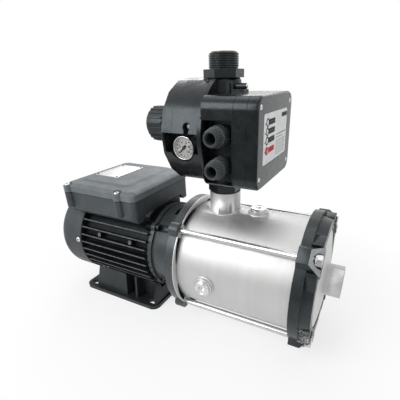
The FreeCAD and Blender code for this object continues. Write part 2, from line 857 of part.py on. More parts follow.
def seal_head():
    """Turning half of the mechanical seal with its bellows and carbon face."""
    bore = PUMP_SHAFT_R + BORE_FIT
    face = SEAL_SEAT_END + SEAL_FACE_GAP
    body = face + SEAL_FACE
    collar = body + SEAL_HEAD
    return turned([
        (face, bore), (face, SEAL_FACE_R), (body, SEAL_FACE_R), (body, SEAL_HEAD_R),
        (collar, SEAL_HEAD_R), (collar, SEAL_COLLAR_R), (SEAL_END, SEAL_COLLAR_R), (SEAL_END, bore)])


def casing_o_rings():
    """Rings that seal the can to its cover and the plugs to their bosses."""
    middle = (COVER_GROOVE_START + COVER_GROOVE_END) / 2
    mean = can_bore() - COVER_GROOVE_DEPTH / 2
    rings = [Part.makeTorus(mean, COVER_RING_R, V(middle, 0, 0), X_AXIS)]
    for base, out in plug_places():
        seat = base + out * (PLUG_BOSS_TOP + PLUG_RING / 2)
        rings.append(Part.makeTorus((PLUG_SHANK_R + PLUG_R) / 2, PLUG_RING_R, seat, out))
    return group(rings)


def plug(base, out):
    """Hexagon-socket plug on its sealing ring."""
    under = PLUG_BOSS_TOP + PLUG_RING
    head = rod(PLUG_R, under, under + PLUG_HEAD, base, out)
    shank = rod(PLUG_SHANK_R, BARREL_R - PLUG_SHANK_SUNK, under, base, out)
    socket = hexagon(PLUG_SOCKET_AF, under - PLUG_SOCKET_DEPTH, under + PLUG_HEAD + OVER, base, out)
    return fused([head, shank]).cut(socket)


# Clamping of the barrel


def rod_base():
    """A point on the axis of the tie bolt that is turned to the others' places."""
    return V(0, -ROD_CIRCLE_R, 0)


def on_rods(radius, start, end):
    """Round bars on the tie bolts' axes, for lugs and for holes."""
    return around_shaft(rod(radius, start, end, rod_base()), rod_angles())


def clamp_lug():
    """One outer lug of the clamp flange, a lozenge that leans on the collar."""
    root = COLLAR_BORE_R + CORNER_GRIP
    tip = ROD_CIRCLE_R + LUG_R
    outline = [(-LUG_HALF_WIDTH, root), (-LUG_HALF_WIDTH, ROD_CIRCLE_R), (-LUG_TIP_HALF_WIDTH, tip),
               (LUG_TIP_HALF_WIDTH, tip), (LUG_HALF_WIDTH, ROD_CIRCLE_R), (LUG_HALF_WIDTH, root)]
    points = [V(FLANGE_START, -r, w) for w, r in outline]
    front = FLANGE_END + LUG_PROUD
    slope = [V(front + OVER, -(tip - LUG_SLOPE - OVER), -LUG_HALF_WIDTH),
             V(front + OVER, -(tip + OVER), -LUG_HALF_WIDTH),
             V(front - LUG_SLOPE - OVER, -(tip + OVER), -LUG_HALF_WIDTH)]
    bar = polygon_bar(points, V(front - FLANGE_START, 0, 0))
    return bar.cut(polygon_bar(slope, V(0, 0, 2 * LUG_HALF_WIDTH)))


def lug_pocket():
    """Lozenge recess in a lug's front, around the bolt head."""
    depth = LUG_PROUD + LUG_POCKET_DEPTH + OVER
    points = [V(WASHER_SEAT, -ROD_CIRCLE_R, LUG_POCKET_HALF_WIDTH),
              V(WASHER_SEAT, -ROD_CIRCLE_R - LUG_POCKET_HALF_HEIGHT, 0),
              V(WASHER_SEAT, -ROD_CIRCLE_R, -LUG_POCKET_HALF_WIDTH),
              V(WASHER_SEAT, -ROD_CIRCLE_R + LUG_POCKET_HALF_HEIGHT, 0)]
    well = rod(WASHER_R + WASHER_ROOM, WASHER_SEAT, WASHER_SEAT + depth, rod_base())
    return fused([polygon_bar(points, V(depth, 0, 0)), well])


def front_clamp_flange():
    """Cast ring that holds the can's round corner against the bracket."""
    seat = DOME_CORNER_R + SEAT_GAP
    centre_r = BARREL_R - DOME_CORNER_R
    rise = COLLAR_BORE_R - centre_r
    lip_x = BARREL_END + math.sqrt(seat ** 2 - rise ** 2)
    half = (math.asin(rise / seat) + math.pi / 2) / 2
    middle = (BARREL_END + seat * math.cos(half), centre_r + seat * math.sin(half), "arc")
    rim_end = FLANGE_START + FLANGE_RIM_WIDTH
    ring = bent_profile([
        (FLANGE_START, centre_r + seat), (FLANGE_START, FLANGE_RIM_R), (rim_end, FLANGE_RIM_R),
        (rim_end, COLLAR_R), (FLANGE_END, COLLAR_R - COLLAR_TAPER), (FLANGE_END, COLLAR_BORE_R),
        (lip_x, COLLAR_BORE_R), middle, (BARREL_END, centre_r + seat)])
    lugs = around_shaft(clamp_lug(), rod_angles())
    cuts = [can_clearance()] + around_shaft(lug_pocket(), rod_angles())
    cuts += on_rods(ROD_R + ROD_CLEARANCE, 0, FLANGE_END + LUG_PROUD + OVER)
    return ring.fuse(lugs).cut(cuts).removeSplitter()


def can_clearance():
    """The can's end grown by the seat gap, which the clamp flange leaves free."""
    seat = DOME_CORNER_R + SEAT_GAP
    centre_r = BARREL_R - DOME_CORNER_R
    before = FLANGE_START - OVER
    return bent_profile([
        (before, 0.0), (before, centre_r + seat), (BARREL_END, centre_r + seat),
        corner_middle(BARREL_END, centre_r, seat), (BARREL_END + seat, centre_r),
        (BARREL_END + seat, 0.0)])


def tie_bolts():
    """Long hexagon bolts that clamp the barrel, threaded into the bracket."""
    seat = WASHER_SEAT + WASHER_HEIGHT
    shank = rod(ROD_R, BOLT_END_GAP - BRACKET_FLANGE_WIDTH, seat, rod_base())
    head = hexagon(BOLT_HEAD_AF, seat, seat + BOLT_HEAD_HEIGHT, rod_base())
    return group(around_shaft(fused([shank, head]), rod_angles()))


def tie_bolt_washers():
    """Flat washers under the bolt heads."""
    washer = tube(WASHER_R, ROD_R + SEAT_GAP, WASHER_SEAT, WASHER_SEAT + WASHER_HEIGHT, rod_base())
    return group(around_shaft(washer, rod_angles()))


# Hydraulic stages


def stage_starts():
    """Motor-side end of each stage chamber."""
    return [STAGE_START + STAGE_PITCH * k for k in range(STAGE_COUNT)]


def stages_end():
    """Suction-side end of the last stage chamber."""
    return stage_starts()[-1] + STAGE_PITCH


def hub_end(start):
    """Suction-side end of an impeller's hub."""
    return start + IMPELLER_OFFSET + IMPELLER_HUB


def swept_vane(inner, outer, sweep, start, width):
    """A curved vane between two radii that leans back by the sweep angle."""
    def edge(offset):
        points = []
        for share in (0.0, 0.5, 1.0):
            radius = inner + (outer - inner) * share
            angle = sweep * share ** 0.8 + math.degrees(offset / radius)
            points.append(on_side(radius, angle, start))
        return points

    front = edge(BLADE_THICKNESS / 2)
    back = edge(-BLADE_THICKNESS / 2)
    wire = Part.Wire([
        Part.Arc(*front).toShape(), Part.LineSegment(front[2], back[2]).toShape(),
        Part.Arc(back[2], back[1], back[0]).toShape(), Part.LineSegment(back[0], front[0]).toShape()])
    return Part.Face(wire).extrude(V(width, 0, 0))


def impeller(start):
    """Closed impeller: hub, back shroud, swept blades, front shroud with its eye."""
    back = start + IMPELLER_OFFSET
    blades_end = back + SHEET + BLADE_WIDTH
    front_end = blades_end + SHEET
    bore = PUMP_SHAFT_R + BORE_FIT
    wheel = turned([
        (back, bore), (back, IMPELLER_R), (back + SHEET, IMPELLER_R), (back + SHEET, HUB_R),
        (hub_end(start), HUB_R), (hub_end(start), bore)])
    skirt_end = start + STAGE_PITCH + EYE_SKIRT
    cover = turned([
        (blades_end, EYE_R - SHEET), (blades_end, IMPELLER_R), (front_end, IMPELLER_R),
        (front_end, EYE_R), (skirt_end, EYE_R), (skirt_end, EYE_R - SHEET)])
    blade = swept_vane(EYE_R - BLADE_ROOT_INSET, IMPELLER_R - BLADE_TIP_INSET, BLADE_SWEEP_ANGLE,
                       back + SHEET / 2, BLADE_WIDTH + SHEET)
    return fused([wheel, cover] + around_shaft(blade, evenly(BLADE_COUNT)))


def impellers():
    """One impeller in each stage."""
    return group([impeller(start) for start in stage_starts()])


def impeller_spacers():
    """Sleeves that set the impellers' distances along the shaft."""
    bore = PUMP_SHAFT_R + BORE_FIT
    starts = [SEAL_END + SEAT_GAP] + [hub_end(start) for start in stage_starts()[:-1]]
    sleeves = []
    for begin, stage in zip(starts, stage_starts()):
        sleeves.append(tube(HUB_R, bore, begin, stage + IMPELLER_OFFSET))
    return group(sleeves)


def shaft_nut():
    """Locking nut that clamps the impellers."""
    start = hub_end(stage_starts()[-1])
    nut = hexagon(SHAFT_NUT_AF, start, start + SHAFT_NUT)
    return nut.cut(rod(PUMP_SHAFT_R + BORE_FIT, start - OVER, start + SHAFT_NUT + OVER))


def stage_chamber(start):
    """Pressed stage chamber: shell, diaphragm with the eye's bore, return guide vanes."""
    end = start + STAGE_PITCH
    wall = CHAMBER_R - SHEET
    shell = turned([
        (start, wall), (start, CHAMBER_R), (end, CHAMBER_R), (end, EYE_R + RUNNING_GAP),
        (end - SHEET, EYE_R + RUNNING_GAP), (end - SHEET, wall)])
    vane = swept_vane(EYE_R + VANE_INSET, wall + SHEET / 2, -VANE_SWEEP_ANGLE, start, VANE_DEPTH)
    plate_start = start + VANE_DEPTH
    plate = tube(wall - VANE_INSET, HUB_R + RUNNING_GAP, plate_start, plate_start + SHEET)
    return fused([shell, plate] + around_shaft(vane, evenly(VANE_COUNT)))


def stage_chambers():
    """All stage chambers and the ring that parts suction from delivery."""
    corner = DOME_CORNER_R - CAN_WALL
    ring_r = CHAMBER_R - INLET_RING_STEP
    dome_x = BARREL_END + math.sqrt(corner ** 2 - (ring_r - (BARREL_R - DOME_CORNER_R)) ** 2)
    inlet_ring = tube(ring_r, ring_r - SHEET, stages_end(), dome_x - RUNNING_GAP)
    return group([stage_chamber(start) for start in stage_starts()] + [inlet_ring])


def discharge_spacer():
    """Windowed ring between the casing cover and the last stage."""
    ring = tube(CHAMBER_R, CHAMBER_R - 2 * SHEET, COVER_PLUG, STAGE_START)
    window = block(COVER_PLUG + SPACER_FRAME, STAGE_START - SPACER_FRAME, -CHAMBER_R - OVER,
                   -CHAMBER_R + SPACER_WINDOW_DEPTH, -SPACER_WINDOW_HALF, SPACER_WINDOW_HALF)
    first = 180.0 / SPACER_WINDOW_COUNT
    return ring.cut(around_shaft(window, evenly(SPACER_WINDOW_COUNT, first)))


# Shaft and bearings


def shaft():
    """Stepped shaft from the fan to the last impeller."""
    rear = REAR_BEARING_X
    rear_end = REAR_BEARING_X + BEARING_WIDTH
    front = FRONT_BEARING_X
    front_end = FRONT_BEARING_X + BEARING_WIDTH + BEARING_SHOULDER
    tip = hub_end(stage_starts()[-1]) + SHAFT_NUT + SHAFT_TIP
    return turned([
        (FAN_SHAFT_END, 0.0), (FAN_SHAFT_END, FAN_SHAFT_R), (rear - SHAFT_TIP, FAN_SHAFT_R),
        (rear - SHAFT_TIP, BEARING_BORE_R), (rear_end, BEARING_BORE_R), (rear_end, ROTOR_SHAFT_R),
        (front, ROTOR_SHAFT_R), (front, BEARING_BORE_R), (front_end, BEARING_BORE_R),
        (front_end, PUMP_SHAFT_R), (tip, PUMP_SHAFT_R), (tip, 0.0)])


def rotor_core():
    """Laminated rotor with its cast end rings."""
    bore = ROTOR_SHAFT_R + BORE_FIT
    ring_bore = bore + END_RING_BORE
    ring_r = AIR_GAP_R - END_RING_STEP
    rear = STATOR_START - END_RING
    front = STATOR_END + END_RING
    return turned([
        (rear, ring_bore), (rear, ring_r), (STATOR_START, ring_r), (STATOR_START, AIR_GAP_R),
        (STATOR_END, AIR_GAP_R), (STATOR_END, ring_r), (front, ring_r), (front, ring_bore),
        (STATOR_END, ring_bore), (STATOR_END, bore), (STATOR_START, bore), (STATOR_START, ring_bore)])


def stator_core():
    """Laminated stator stack pressed into the housing."""
    return tube(HOUSING_BORE_R - BORE_FIT, AIR_GAP_R + AIR_GAP, STATOR_START, STATOR_END)


def stator_windings():
    """Copper end turns at both ends of the stator stack."""
    inner = AIR_GAP_R + WINDING_FROM
    outer = AIR_GAP_R + WINDING_TO
    middle = (inner + outer) / 2
    coils = []
    for face, out in ((STATOR_START, -1), (STATOR_END, 1)):
        coils.append(bent_profile([
            (face, inner), (face + out * WINDING_STRAIGHT, inner),
            (face + out * WINDING_REACH, middle, "arc"), (face + out * WINDING_STRAIGHT, outer),
            (face, outer)]))
    return group(coils)


def ball_track_half():
    """Half the width of a bearing's ball track."""
    return BALL_R + TRACK_PLAY


def bearing_outer_rings():
    """Outer rings held in the end shield and the bracket, tracked in their inner wall."""
    rings = []
    outer = BEARING_R - PRESS_FIT
    track = BALL_CIRCLE_R + BALL_R + BALL_PLAY
    inner = track - TRACK_DEPTH
    half = ball_track_half()
    for start in (REAR_BEARING_X, FRONT_BEARING_X):
        middle = start + BEARING_WIDTH / 2
        end = start + BEARING_WIDTH
        rings.append(turned([
            (start, inner), (start, outer), (end, outer), (end, inner), (middle + half, inner),
            (middle + half, track), (middle - half, track), (middle - half, inner)]))
    return group(rings)


def bearing_inner_rings():
    """Inner rings on the shaft, whose ball track is cut in their outer wall."""
    rings = []
    bore = BEARING_BORE_R + BORE_FIT
    track = BALL_CIRCLE_R - BALL_R - BALL_PLAY
    outer = track + TRACK_DEPTH
    half = ball_track_half()
    for start in (REAR_BEARING_X, FRONT_BEARING_X):
        middle = start + BEARING_WIDTH / 2
        end = start + BEARING_WIDTH
        rings.append(turned([
            (start, bore), (start, outer), (middle - half, outer), (middle - half, track),
            (middle + half, track), (middle + half, outer), (end, outer), (end, bore)]))
    return group(rings)


def bearing_balls():
    """Balls between the bearing rings."""
    balls = []
    for start in (REAR_BEARING_X, FRONT_BEARING_X):
        centre = V(start + BEARING_WIDTH / 2, -BALL_CIRCLE_R, 0)
        balls += around_shaft(Part.makeSphere(BALL_R, centre), evenly(BALL_COUNT))
    return group(balls)


# Motor


def fin(angle):
    """One tapered cooling fin, drawn on the near side and turned to its angle."""
    root = HOUSING_R - FIN_SUNK
    outline = [V(MOTOR_REAR, -root, -FIN_ROOT_WIDTH / 2), V(MOTOR_REAR, -FIN_TIP_R, -FIN_TIP_WIDTH / 2),
               V(MOTOR_REAR, -FIN_TIP_R, FIN_TIP_WIDTH / 2), V(MOTOR_REAR, -root, FIN_ROOT_WIDTH / 2)]
    blade = polygon_bar(outline, V(MOTOR_FRONT - MOTOR_REAR, 0, 0))
    blade.rotate(ORIGIN, X_AXIS, -angle)
    return blade


def fin_angles():
    """Fins on the near side, then their mirror images on the far side."""
    count = int(round(2 * FIN_END_ANGLE / FIN_STEP_ANGLE)) + 1
    near = [-FIN_END_ANGLE + FIN_STEP_ANGLE * k for k in range(count)]
    return near + [180.0 - angle for angle in near]


def screw_angles():
    """Where the bracket's cap screws stand about the shaft."""
    return (-SCREW_CORNER_ANGLE, SCREW_CORNER_ANGLE, 180.0 - SCREW_CORNER_ANGLE, SCREW_CORNER_ANGLE - 180.0)


def on_screws(radius, start, end, circle=SCREW_CIRCLE_R):
    """Round bars about the bracket screws' places, for ears and for holes."""
    return around_shaft(rod(radius, start, end, V(0, -circle, 0)), screw_angles())


def foot_holes(radius, start, end):
    """Upright holes for the screws between motor frame and foot."""
    return [rod(radius, start, end, V(x, 0, 0), Z_AXIS) for x in FOOT_SCREW_XS]


def motor_housing():
    """Finned aluminium frame with its pads for the terminal box and the foot."""
    start = MOTOR_REAR + PAD_INSET
    end = MOTOR_FRONT - PAD_INSET
    barrel = rod(HOUSING_R, MOTOR_REAR, MOTOR_FRONT)
    pads = [block(start, end, -PAD_HALF_WIDTH, PAD_HALF_WIDTH, PAD_ROOT, PAD_TOP),
            block(start, end, -FOOT_PAD_HALF_WIDTH, FOOT_PAD_HALF_WIDTH, FOOT_PAD_BOTTOM, FOOT_PAD_ROOT)]
    ears = on_screws(EAR_R, MOTOR_FRONT - EAR_LENGTH, MOTOR_FRONT, HOUSING_R)
    fins = [fin(angle) for angle in fin_angles()]
    out = on_side(1.0, FIN_BOSS_ANGLE)
    bosses = [rod(FIN_BOSS_R, HOUSING_R - FIN_SUNK, FIN_TIP_R, V(x, 0, 0), out) for x in FIN_BOSS_XS]
    cuts = [rod(HOUSING_BORE_R, MOTOR_REAR - OVER, MOTOR_FRONT + OVER)]
    cuts += on_screws(SCREW_R + SEAT_GAP, MOTOR_FRONT - SCREW_DRILLED, MOTOR_FRONT + OVER)
    cuts += foot_holes(SCREW_R + SEAT_GAP, FOOT_PAD_BOTTOM - OVER, FOOT_PAD_BOTTOM + FOOT_SCREW_DRILLED)
    return barrel.fuse(pads + ears + fins + bosses).cut(cuts).removeSplitter()


def bracket_screws():
    """Socket cap screws that hold the bracket to the motor frame."""
    base = V(0, -SCREW_CIRCLE_R, 0)
    seat = MOTOR_FRONT + BRACKET_FOOT
    shank = rod(SCREW_R, MOTOR_FRONT - SCREW_GRIP, seat, base)
    head = rod(SCREW_HEAD_R, seat, seat + SCREW_HEAD, base)
    top = seat + SCREW_HEAD
    socket = hexagon(SCREW_SOCKET_AF, top - SCREW_SOCKET_DEPTH, top + OVER, base)
    return group(around_shaft(fused([shank, head]).cut(socket), screw_angles()))


def rear_end_shield():
    """Cast shield that closes the motor's rear and carries the rear bearing."""
    rear = REAR_BEARING_X
    back = rear + BEARING_WIDTH + SEAT_GAP
    plate = MOTOR_REAR - SHIELD_WALL
    rim = MOTOR_REAR - SHIELD_RIM
    spigot = MOTOR_REAR + SHIELD_SPIGOT
    spigot_r = HOUSING_BORE_R - SEAT_GAP
    shaft_hole = ROTOR_SHAFT_R + SHIELD_SHAFT_ROOM
    shield = turned([
        (MOTOR_REAR, spigot_r), (MOTOR_REAR, SHIELD_R), (rim, SHIELD_R), (rim, SHIELD_R - SHIELD_STEP),
        (plate, SHIELD_R - SHIELD_DISH), (plate, SHIELD_HUB_ROOT_R), (rear - OVER, SHIELD_HUB_OUTER_R),
        (rear - OVER, BEARING_R), (back, BEARING_R), (back, shaft_hole), (back + SHIELD_WALL, shaft_hole),
        (back + SHIELD_WALL, SHIELD_HUB_ROOT_R), (spigot, spigot_r - SHIELD_SPIGOT_WALL),
        (spigot, spigot_r)])
    thread = rod(COVER_SCREW_R + SEAT_GAP, COVER_SCREW_DEPTH - OVER, SHIELD_R + OVER,
                 V(COVER_SCREW_X, 0, 0), NEAR)
    return shield.cut(around_shaft(thread, cover_screw_angles()))


def fan_cover():
    """Drawn sheet cover with a round rear edge and a grille of radial slots."""
    inner_corner = FAN_COVER_CORNER - COVER_SHEET
    centre_r = FAN_COVER_R - FAN_COVER_CORNER
    centre_x = FAN_COVER_END + FAN_COVER_CORNER
    outer = FAN_COVER_CORNER * math.sqrt(0.5)
    inner = inner_corner * math.sqrt(0.5)
    inside = FAN_COVER_END + COVER_SHEET
    shell = bent_profile([
        (MOTOR_REAR, FAN_COVER_R - COVER_SHEET), (MOTOR_REAR, FAN_COVER_R), (centre_x, FAN_COVER_R),
        (centre_x - outer, centre_r + outer, "arc"), (FAN_COVER_END, centre_r), (FAN_COVER_END, 0.0),
        (inside, 0.0), (inside, centre_r), (centre_x - inner, centre_r + inner, "arc"),
        (centre_x, FAN_COVER_R - COVER_SHEET)])
    slot = block(FAN_COVER_END - OVER, inside + OVER, GRILLE_INNER_R, centre_r - GRILLE_INSET,
                 -GRILLE_HALF_WIDTH, GRILLE_HALF_WIDTH)
    hole = rod(COVER_SCREW_R + SEAT_GAP, SHIELD_R - OVER, FAN_COVER_R + OVER, V(COVER_SCREW_X, 0, 0), NEAR)
    return shell.cut(around_shaft(slot, evenly(GRILLE_COUNT)) + around_shaft(hole, cover_screw_angles()))


def cover_screw_angles():
    """Where the fan cover's screws stand; the upper ones are a little above the middle."""
    return (-COVER_SCREW_LIFT_ANGLE, COVER_SCREW_LIFT_ANGLE - 180.0,
            COVER_SCREW_DROP_ANGLE, 180.0 - COVER_SCREW_DROP_ANGLE)


def fan_cover_screws():
    """Pan-head screws that hold the fan cover to the end shield."""
    base = V(COVER_SCREW_X, 0, 0)
    seat = FAN_COVER_R + SEAT_GAP
    head = rod(COVER_SCREW_HEAD_R, seat, seat + COVER_SCREW_HEAD, base, NEAR)
    shank = rod(COVER_SCREW_R, COVER_SCREW_DEPTH, FAN_COVER_R + COVER_SCREW_HEAD / 2, base, NEAR)
    return group(around_shaft(fused([head, shank]), cover_screw_angles()))


def cooling_fan():
    """Moulded radial fan on the rear shaft end."""
    root = FAN_HUB_R - FAN_BLADE_HALF
    hub = tube(FAN_HUB_R, FAN_SHAFT_R + BORE_FIT, FAN_START, FAN_END)
    disc = tube(FAN_DISC_R, root, FAN_END - FAN_DISC, FAN_END)
    blade = block(FAN_START + FAN_BLADE_HALF, FAN_END, -FAN_R, -root, -FAN_BLADE_HALF, FAN_BLADE_HALF)
    return fused([hub, disc] + around_shaft(blade, evenly(FAN_COUNT)))


# Bracket and foot


def pump_bracket():
    """Cast lantern between motor and barrel, with the front bearing's seat."""
    rear = MOTOR_FRONT
    foot = rear + BRACKET_FOOT
    neck = -BRACKET_FLANGE_WIDTH
    bearing_end = FRONT_BEARING_X + BEARING_WIDTH
    back = bearing_end + SEAT_GAP
    shoulder = bearing_end + BEARING_SHOULDER
    cone = bearing_end + BRACKET_WEB
    inner = BRACKET_BODY_R - BRACKET_WALL
    pilot = COVER_LIP_R + SEAT_GAP
    shaft_hole = BEARING_BORE_R + SHIELD_SHAFT_ROOM
    shape = turned([
        (rear, inner), (rear, BRACKET_BODY_R + BRACKET_FOOT_STEP), (foot, BRACKET_BODY_R + BRACKET_FOOT_STEP),
        (foot, BRACKET_BODY_R), (neck, BRACKET_BODY_R + BRACKET_FLARE), (neck, BRACKET_FLANGE_R),
        (0, BRACKET_FLANGE_R), (0, pilot), (-COVER_LIP, pilot), (-COVER_LIP, inner - BRACKET_WALL),
        (cone, inner - BRACKET_WALL / 2), (cone, BEARING_R + BRACKET_SEAT_WALL), (shoulder, BEARING_R),
        (shoulder, shaft_hole), (back, shaft_hole), (back, BEARING_R), (FRONT_BEARING_X, BEARING_R),
        (FRONT_BEARING_X, BEARING_R + BRACKET_SEAT_WALL), (bearing_end, BEARING_R + BRACKET_CONE_WALL),
        (bearing_end, inner)])
    lugs = on_rods(BRACKET_LUG_R, neck, 0)
    ears = on_screws(EAR_R, rear, foot, HOUSING_R)
    cuts = []
    for low, high in ((WINDOW_ROOT, BRACKET_FLANGE_R), (-BRACKET_FLANGE_R, -WINDOW_ROOT)):
        cuts.append(block(neck - WINDOW_LENGTH, neck, -WINDOW_HALF_WIDTH, WINDOW_HALF_WIDTH, low, high))
    cuts += on_screws(SCREW_RELIEF_R, foot, neck)
    cuts += on_screws(SCREW_R + SEAT_GAP, rear - OVER, foot + OVER)
    cuts += on_rods(ROD_R + ROD_THREAD_FIT, neck + BOLT_HOLE_END, OVER)
    cuts.append(rod(pilot, -COVER_LIP, OVER))
    return shape.fuse(lugs + ears).cut(cuts).removeSplitter()


def foot_slots(bottom, top):
    """Bars in the form of the foot's four slots."""
    reach = FOOT_SLOT_LENGTH / 2
    half = FOOT_SLOT_WIDTH / 2
    slots = []
    for x in (FOOT_MIDDLE - FOOT_HOLE_X / 2, FOOT_MIDDLE + FOOT_HOLE_X / 2):
        for y in (-FOOT_HOLE_Y / 2, FOOT_HOLE_Y / 2):
            slots.append(slab(x - reach, x + reach, y - half, y + half, bottom, top, half - PRESS_FIT))
    return slots


def motor_foot():
    """Foot with slotted base plate and an open, ribbed pedestal under the motor."""
    base = -SHAFT_HEIGHT
    top = base + FOOT_PLATE
    deck = FOOT_PAD_BOTTOM - FOOT_DECK
    plate = slab(FOOT_START, FOOT_END, -FOOT_HALF_WIDTH, FOOT_HALF_WIDTH, base, top, FOOT_CORNER_R)
    low = rounded_wire(*PEDESTAL_LOW, -PEDESTAL_LOW_HALF, PEDESTAL_LOW_HALF, PEDESTAL_CORNER_R,
                       lambda u, v: V(u, v, top - OVER))
    high = rounded_wire(*PEDESTAL_HIGH, -PEDESTAL_HIGH_HALF, PEDESTAL_HIGH_HALF, PEDESTAL_CORNER_R,
                        lambda u, v: V(u, v, PEDESTAL_TOP))
    pedestal = Part.makeLoft([low, high], True, True)
    pad_half = FOOT_PAD_HALF_WIDTH + PAD_SIDE_GAP
    cuts = [rod(FIN_TIP_R + SADDLE_GAP, FOOT_START, FOOT_END),
            rod(FAN_COVER_R + SADDLE_GAP, FOOT_START, MOTOR_REAR),
            block(FOOT_START, FOOT_END, -pad_half, pad_half, FOOT_PAD_BOTTOM, 0)]
    for x0, x1 in SIDE_POCKETS:
        cuts.append(block(x0, x1, -SIDE_POCKET_OUTER, -SIDE_POCKET_INNER, top, PEDESTAL_TOP + OVER))
        cuts.append(block(x0, x1, SIDE_POCKET_INNER, SIDE_POCKET_OUTER, top, PEDESTAL_TOP + OVER))
    for x0 in FLOOR_POCKET_STARTS:
        cuts.append(block(x0, x0 + FLOOR_POCKET, -FLOOR_POCKET_HALF, FLOOR_POCKET_HALF, base - OVER, deck))
    cuts += foot_slots(base - OVER, PEDESTAL_TOP)
    cuts += foot_holes(SCREW_R + SEAT_GAP, base - OVER, PEDESTAL_TOP)
    return fused([plate, pedestal]).cut(cuts)


def foot_screws():
    """Screws that hold the motor frame to its foot from below."""
    screws = []
    seat = FOOT_PAD_BOTTOM - FOOT_DECK
    for x in FOOT_SCREW_XS:
        base = V(x, 0, 0)
        head = rod(FOOT_SCREW_HEAD_R, seat - FOOT_SCREW_HEAD, seat, base, Z_AXIS)
        shank = rod(SCREW_R, seat, FOOT_PAD_BOTTOM + FOOT_SCREW_GRIP, base, Z_AXIS)
        screws.append(fused([head, shank]))
    return group(screws)


# Terminal box


def box_outline(inset):
    """Section of the terminal box across the shaft, with its saddle underside."""
    half = BOX_HALF_WIDTH - inset
    skirt = BOX_SKIRT_BOTTOM + inset
    lift = BOX_HALF_WIDTH - BOX_SKIRT_WIDTH + inset
    slope = BOX_SKIRT_SLOPE
    right = [(lift - slope, PAD_TOP + inset), (lift, skirt), (half - slope, skirt),
             (half, skirt + slope), (half, BOX_SPLIT)]
    left = [(-y, z) for y, z in reversed(right)]
    return right + left


def box_shape(inset, top):
    """Terminal box solid, shrunk by an inset, up to a height."""
    points = [V(BOX_START + inset, y, top if z == BOX_SPLIT else z) for y, z in box_outline(inset)]
    body = polygon_bar(points, V(BOX_END - BOX_START - 2 * inset, 0, 0))
    outline = slab(BOX_START + inset, BOX_END - inset, -BOX_HALF_WIDTH + inset, BOX_HALF_WIDTH - inset,
                   0, top + OVER, BOX_CORNER_R - inset / 2)
    return body.common(outline)


def box_columns():
    """Screw columns' centres."""
    spots = []
    for x in BOX_COLUMN_XS:
        for side in (-1, 1):
            spots.append(V(x, side * BOX_HALF_WIDTH, 0))
    return spots


def on_columns(radius, start, end):
    """Upright bars on the screw columns' axes."""
    return [rod(radius, start, end, spot, Z_AXIS) for spot in box_columns()]


def terminal_box():
    """Moulded box on the motor's top pad."""
    low = BOX_SPLIT - BOX_COLUMN_TAIL
    relief_end = MOTOR_REAR + BOX_RELIEF
    relief = rod(FAN_COVER_R + SADDLE_GAP, BOX_START - OVER, relief_end)
    roof = rod(FAN_COVER_R + SADDLE_GAP + BOX_WALL, BOX_START - OVER, relief_end + BOX_WALL)
    whole = box_shape(0, BOX_SPLIT).fuse(on_columns(BOX_COLUMN_R, low, BOX_SPLIT)).cut(relief)
    hollow = box_shape(BOX_WALL, BOX_SPLIT + OVER).cut(roof)
    kept = on_columns(BOX_COLUMN_R, low, BOX_SPLIT)
    cuts = [hollow.cut(kept), rod(ENTRY_R, PAD_HALF_WIDTH, BOX_HALF_WIDTH + OVER,
                                  V(ENTRY_X, 0, ENTRY_Z), Y_AXIS)]
    cuts += on_columns(LID_SCREW_R + SEAT_GAP, BOX_SPLIT - LID_SCREW_DRILLED, BOX_SPLIT + OVER)
    return whole.cut(cuts).removeSplitter()


def box_opening(bottom, top):
    """The open middle of gasket and lid."""
    half = BOX_HALF_WIDTH - BOX_FRAME_Y
    return slab(BOX_START + BOX_FRAME_X, BOX_END - BOX_FRAME_X, -half, half, bottom, top, BOX_INNER_CORNER_R)


def terminal_box_gasket():
    """Flat gasket between box and lid."""
    top = BOX_SPLIT + BOX_GASKET
    half = BOX_HALF_WIDTH - BOX_GASKET_INSET
    outer = slab(BOX_START + BOX_GASKET_INSET, BOX_END - BOX_GASKET_INSET, -half, half, BOX_SPLIT, top,
                 BOX_CORNER_R)
    holes = on_columns(LID_SCREW_R + SEAT_GAP, BOX_SPLIT - OVER, top + OVER)
    return outer.cut([box_opening(BOX_SPLIT - OVER, top + OVER)] + holes)


def bevelled_step(x0, x1, half, radius, bottom, top, bevel):
    """A low block whose sides lean in by the bevel towards its top."""
    low = rounded_wire(x0, x1, -half, half, radius, lambda u, v: V(u, v, bottom))
    high = rounded_wire(x0 + bevel, x1 - bevel, -half + bevel, half - bevel, radius - bevel / 3,
                        lambda u, v: V(u, v, top))
    return Part.makeLoft([low, high], True, True)


def terminal_box_lid():
    """Lid with bevelled edges, a raised middle and notched screw columns."""
    under = BOX_SPLIT + BOX_GASKET
    shoulder = BOX_TOP - LID_BEVEL_HEIGHT
    x0 = BOX_START - LID_OVERHANG
    x1 = BOX_END + LID_OVERHANG
    half = BOX_HALF_WIDTH + LID_OVERHANG
    skirt = slab(x0, x1, -half, half, under, shoulder, BOX_CORNER_R)
    crown = bevelled_step(x0, x1, half, BOX_CORNER_R, shoulder, BOX_TOP, LID_BEVEL)
    plateau = bevelled_step(x0 + PLATEAU_REAR, x1 - PLATEAU_FRONT, half - PLATEAU_SIDE, PLATEAU_CORNER_R,
                            BOX_TOP, BOX_TOP + PLATEAU, PLATEAU_BEVEL)
    columns = on_columns(BOX_COLUMN_R, under, SCREW_SEAT_Z)
    cuts = [box_opening(under - OVER, BOX_TOP - LID_WALL)]
    cuts += on_columns(BOX_COLUMN_R + LID_NOTCH, SCREW_SEAT_Z, BOX_TOP + OVER)
    cuts += on_columns(LID_SCREW_R + SEAT_GAP, under - OVER, BOX_TOP)
    return skirt.fuse([crown, plateau] + columns).cut(cuts).removeSplitter()


def headed_screw(base, axis, seat, head_r, head, shank_r, tip):
    """A round-headed screw whose head sits on seat and whose shank ends at tip."""
    return fused([rod(head_r, seat, seat + head, base, axis), rod(shank_r, tip, seat, base, axis)])


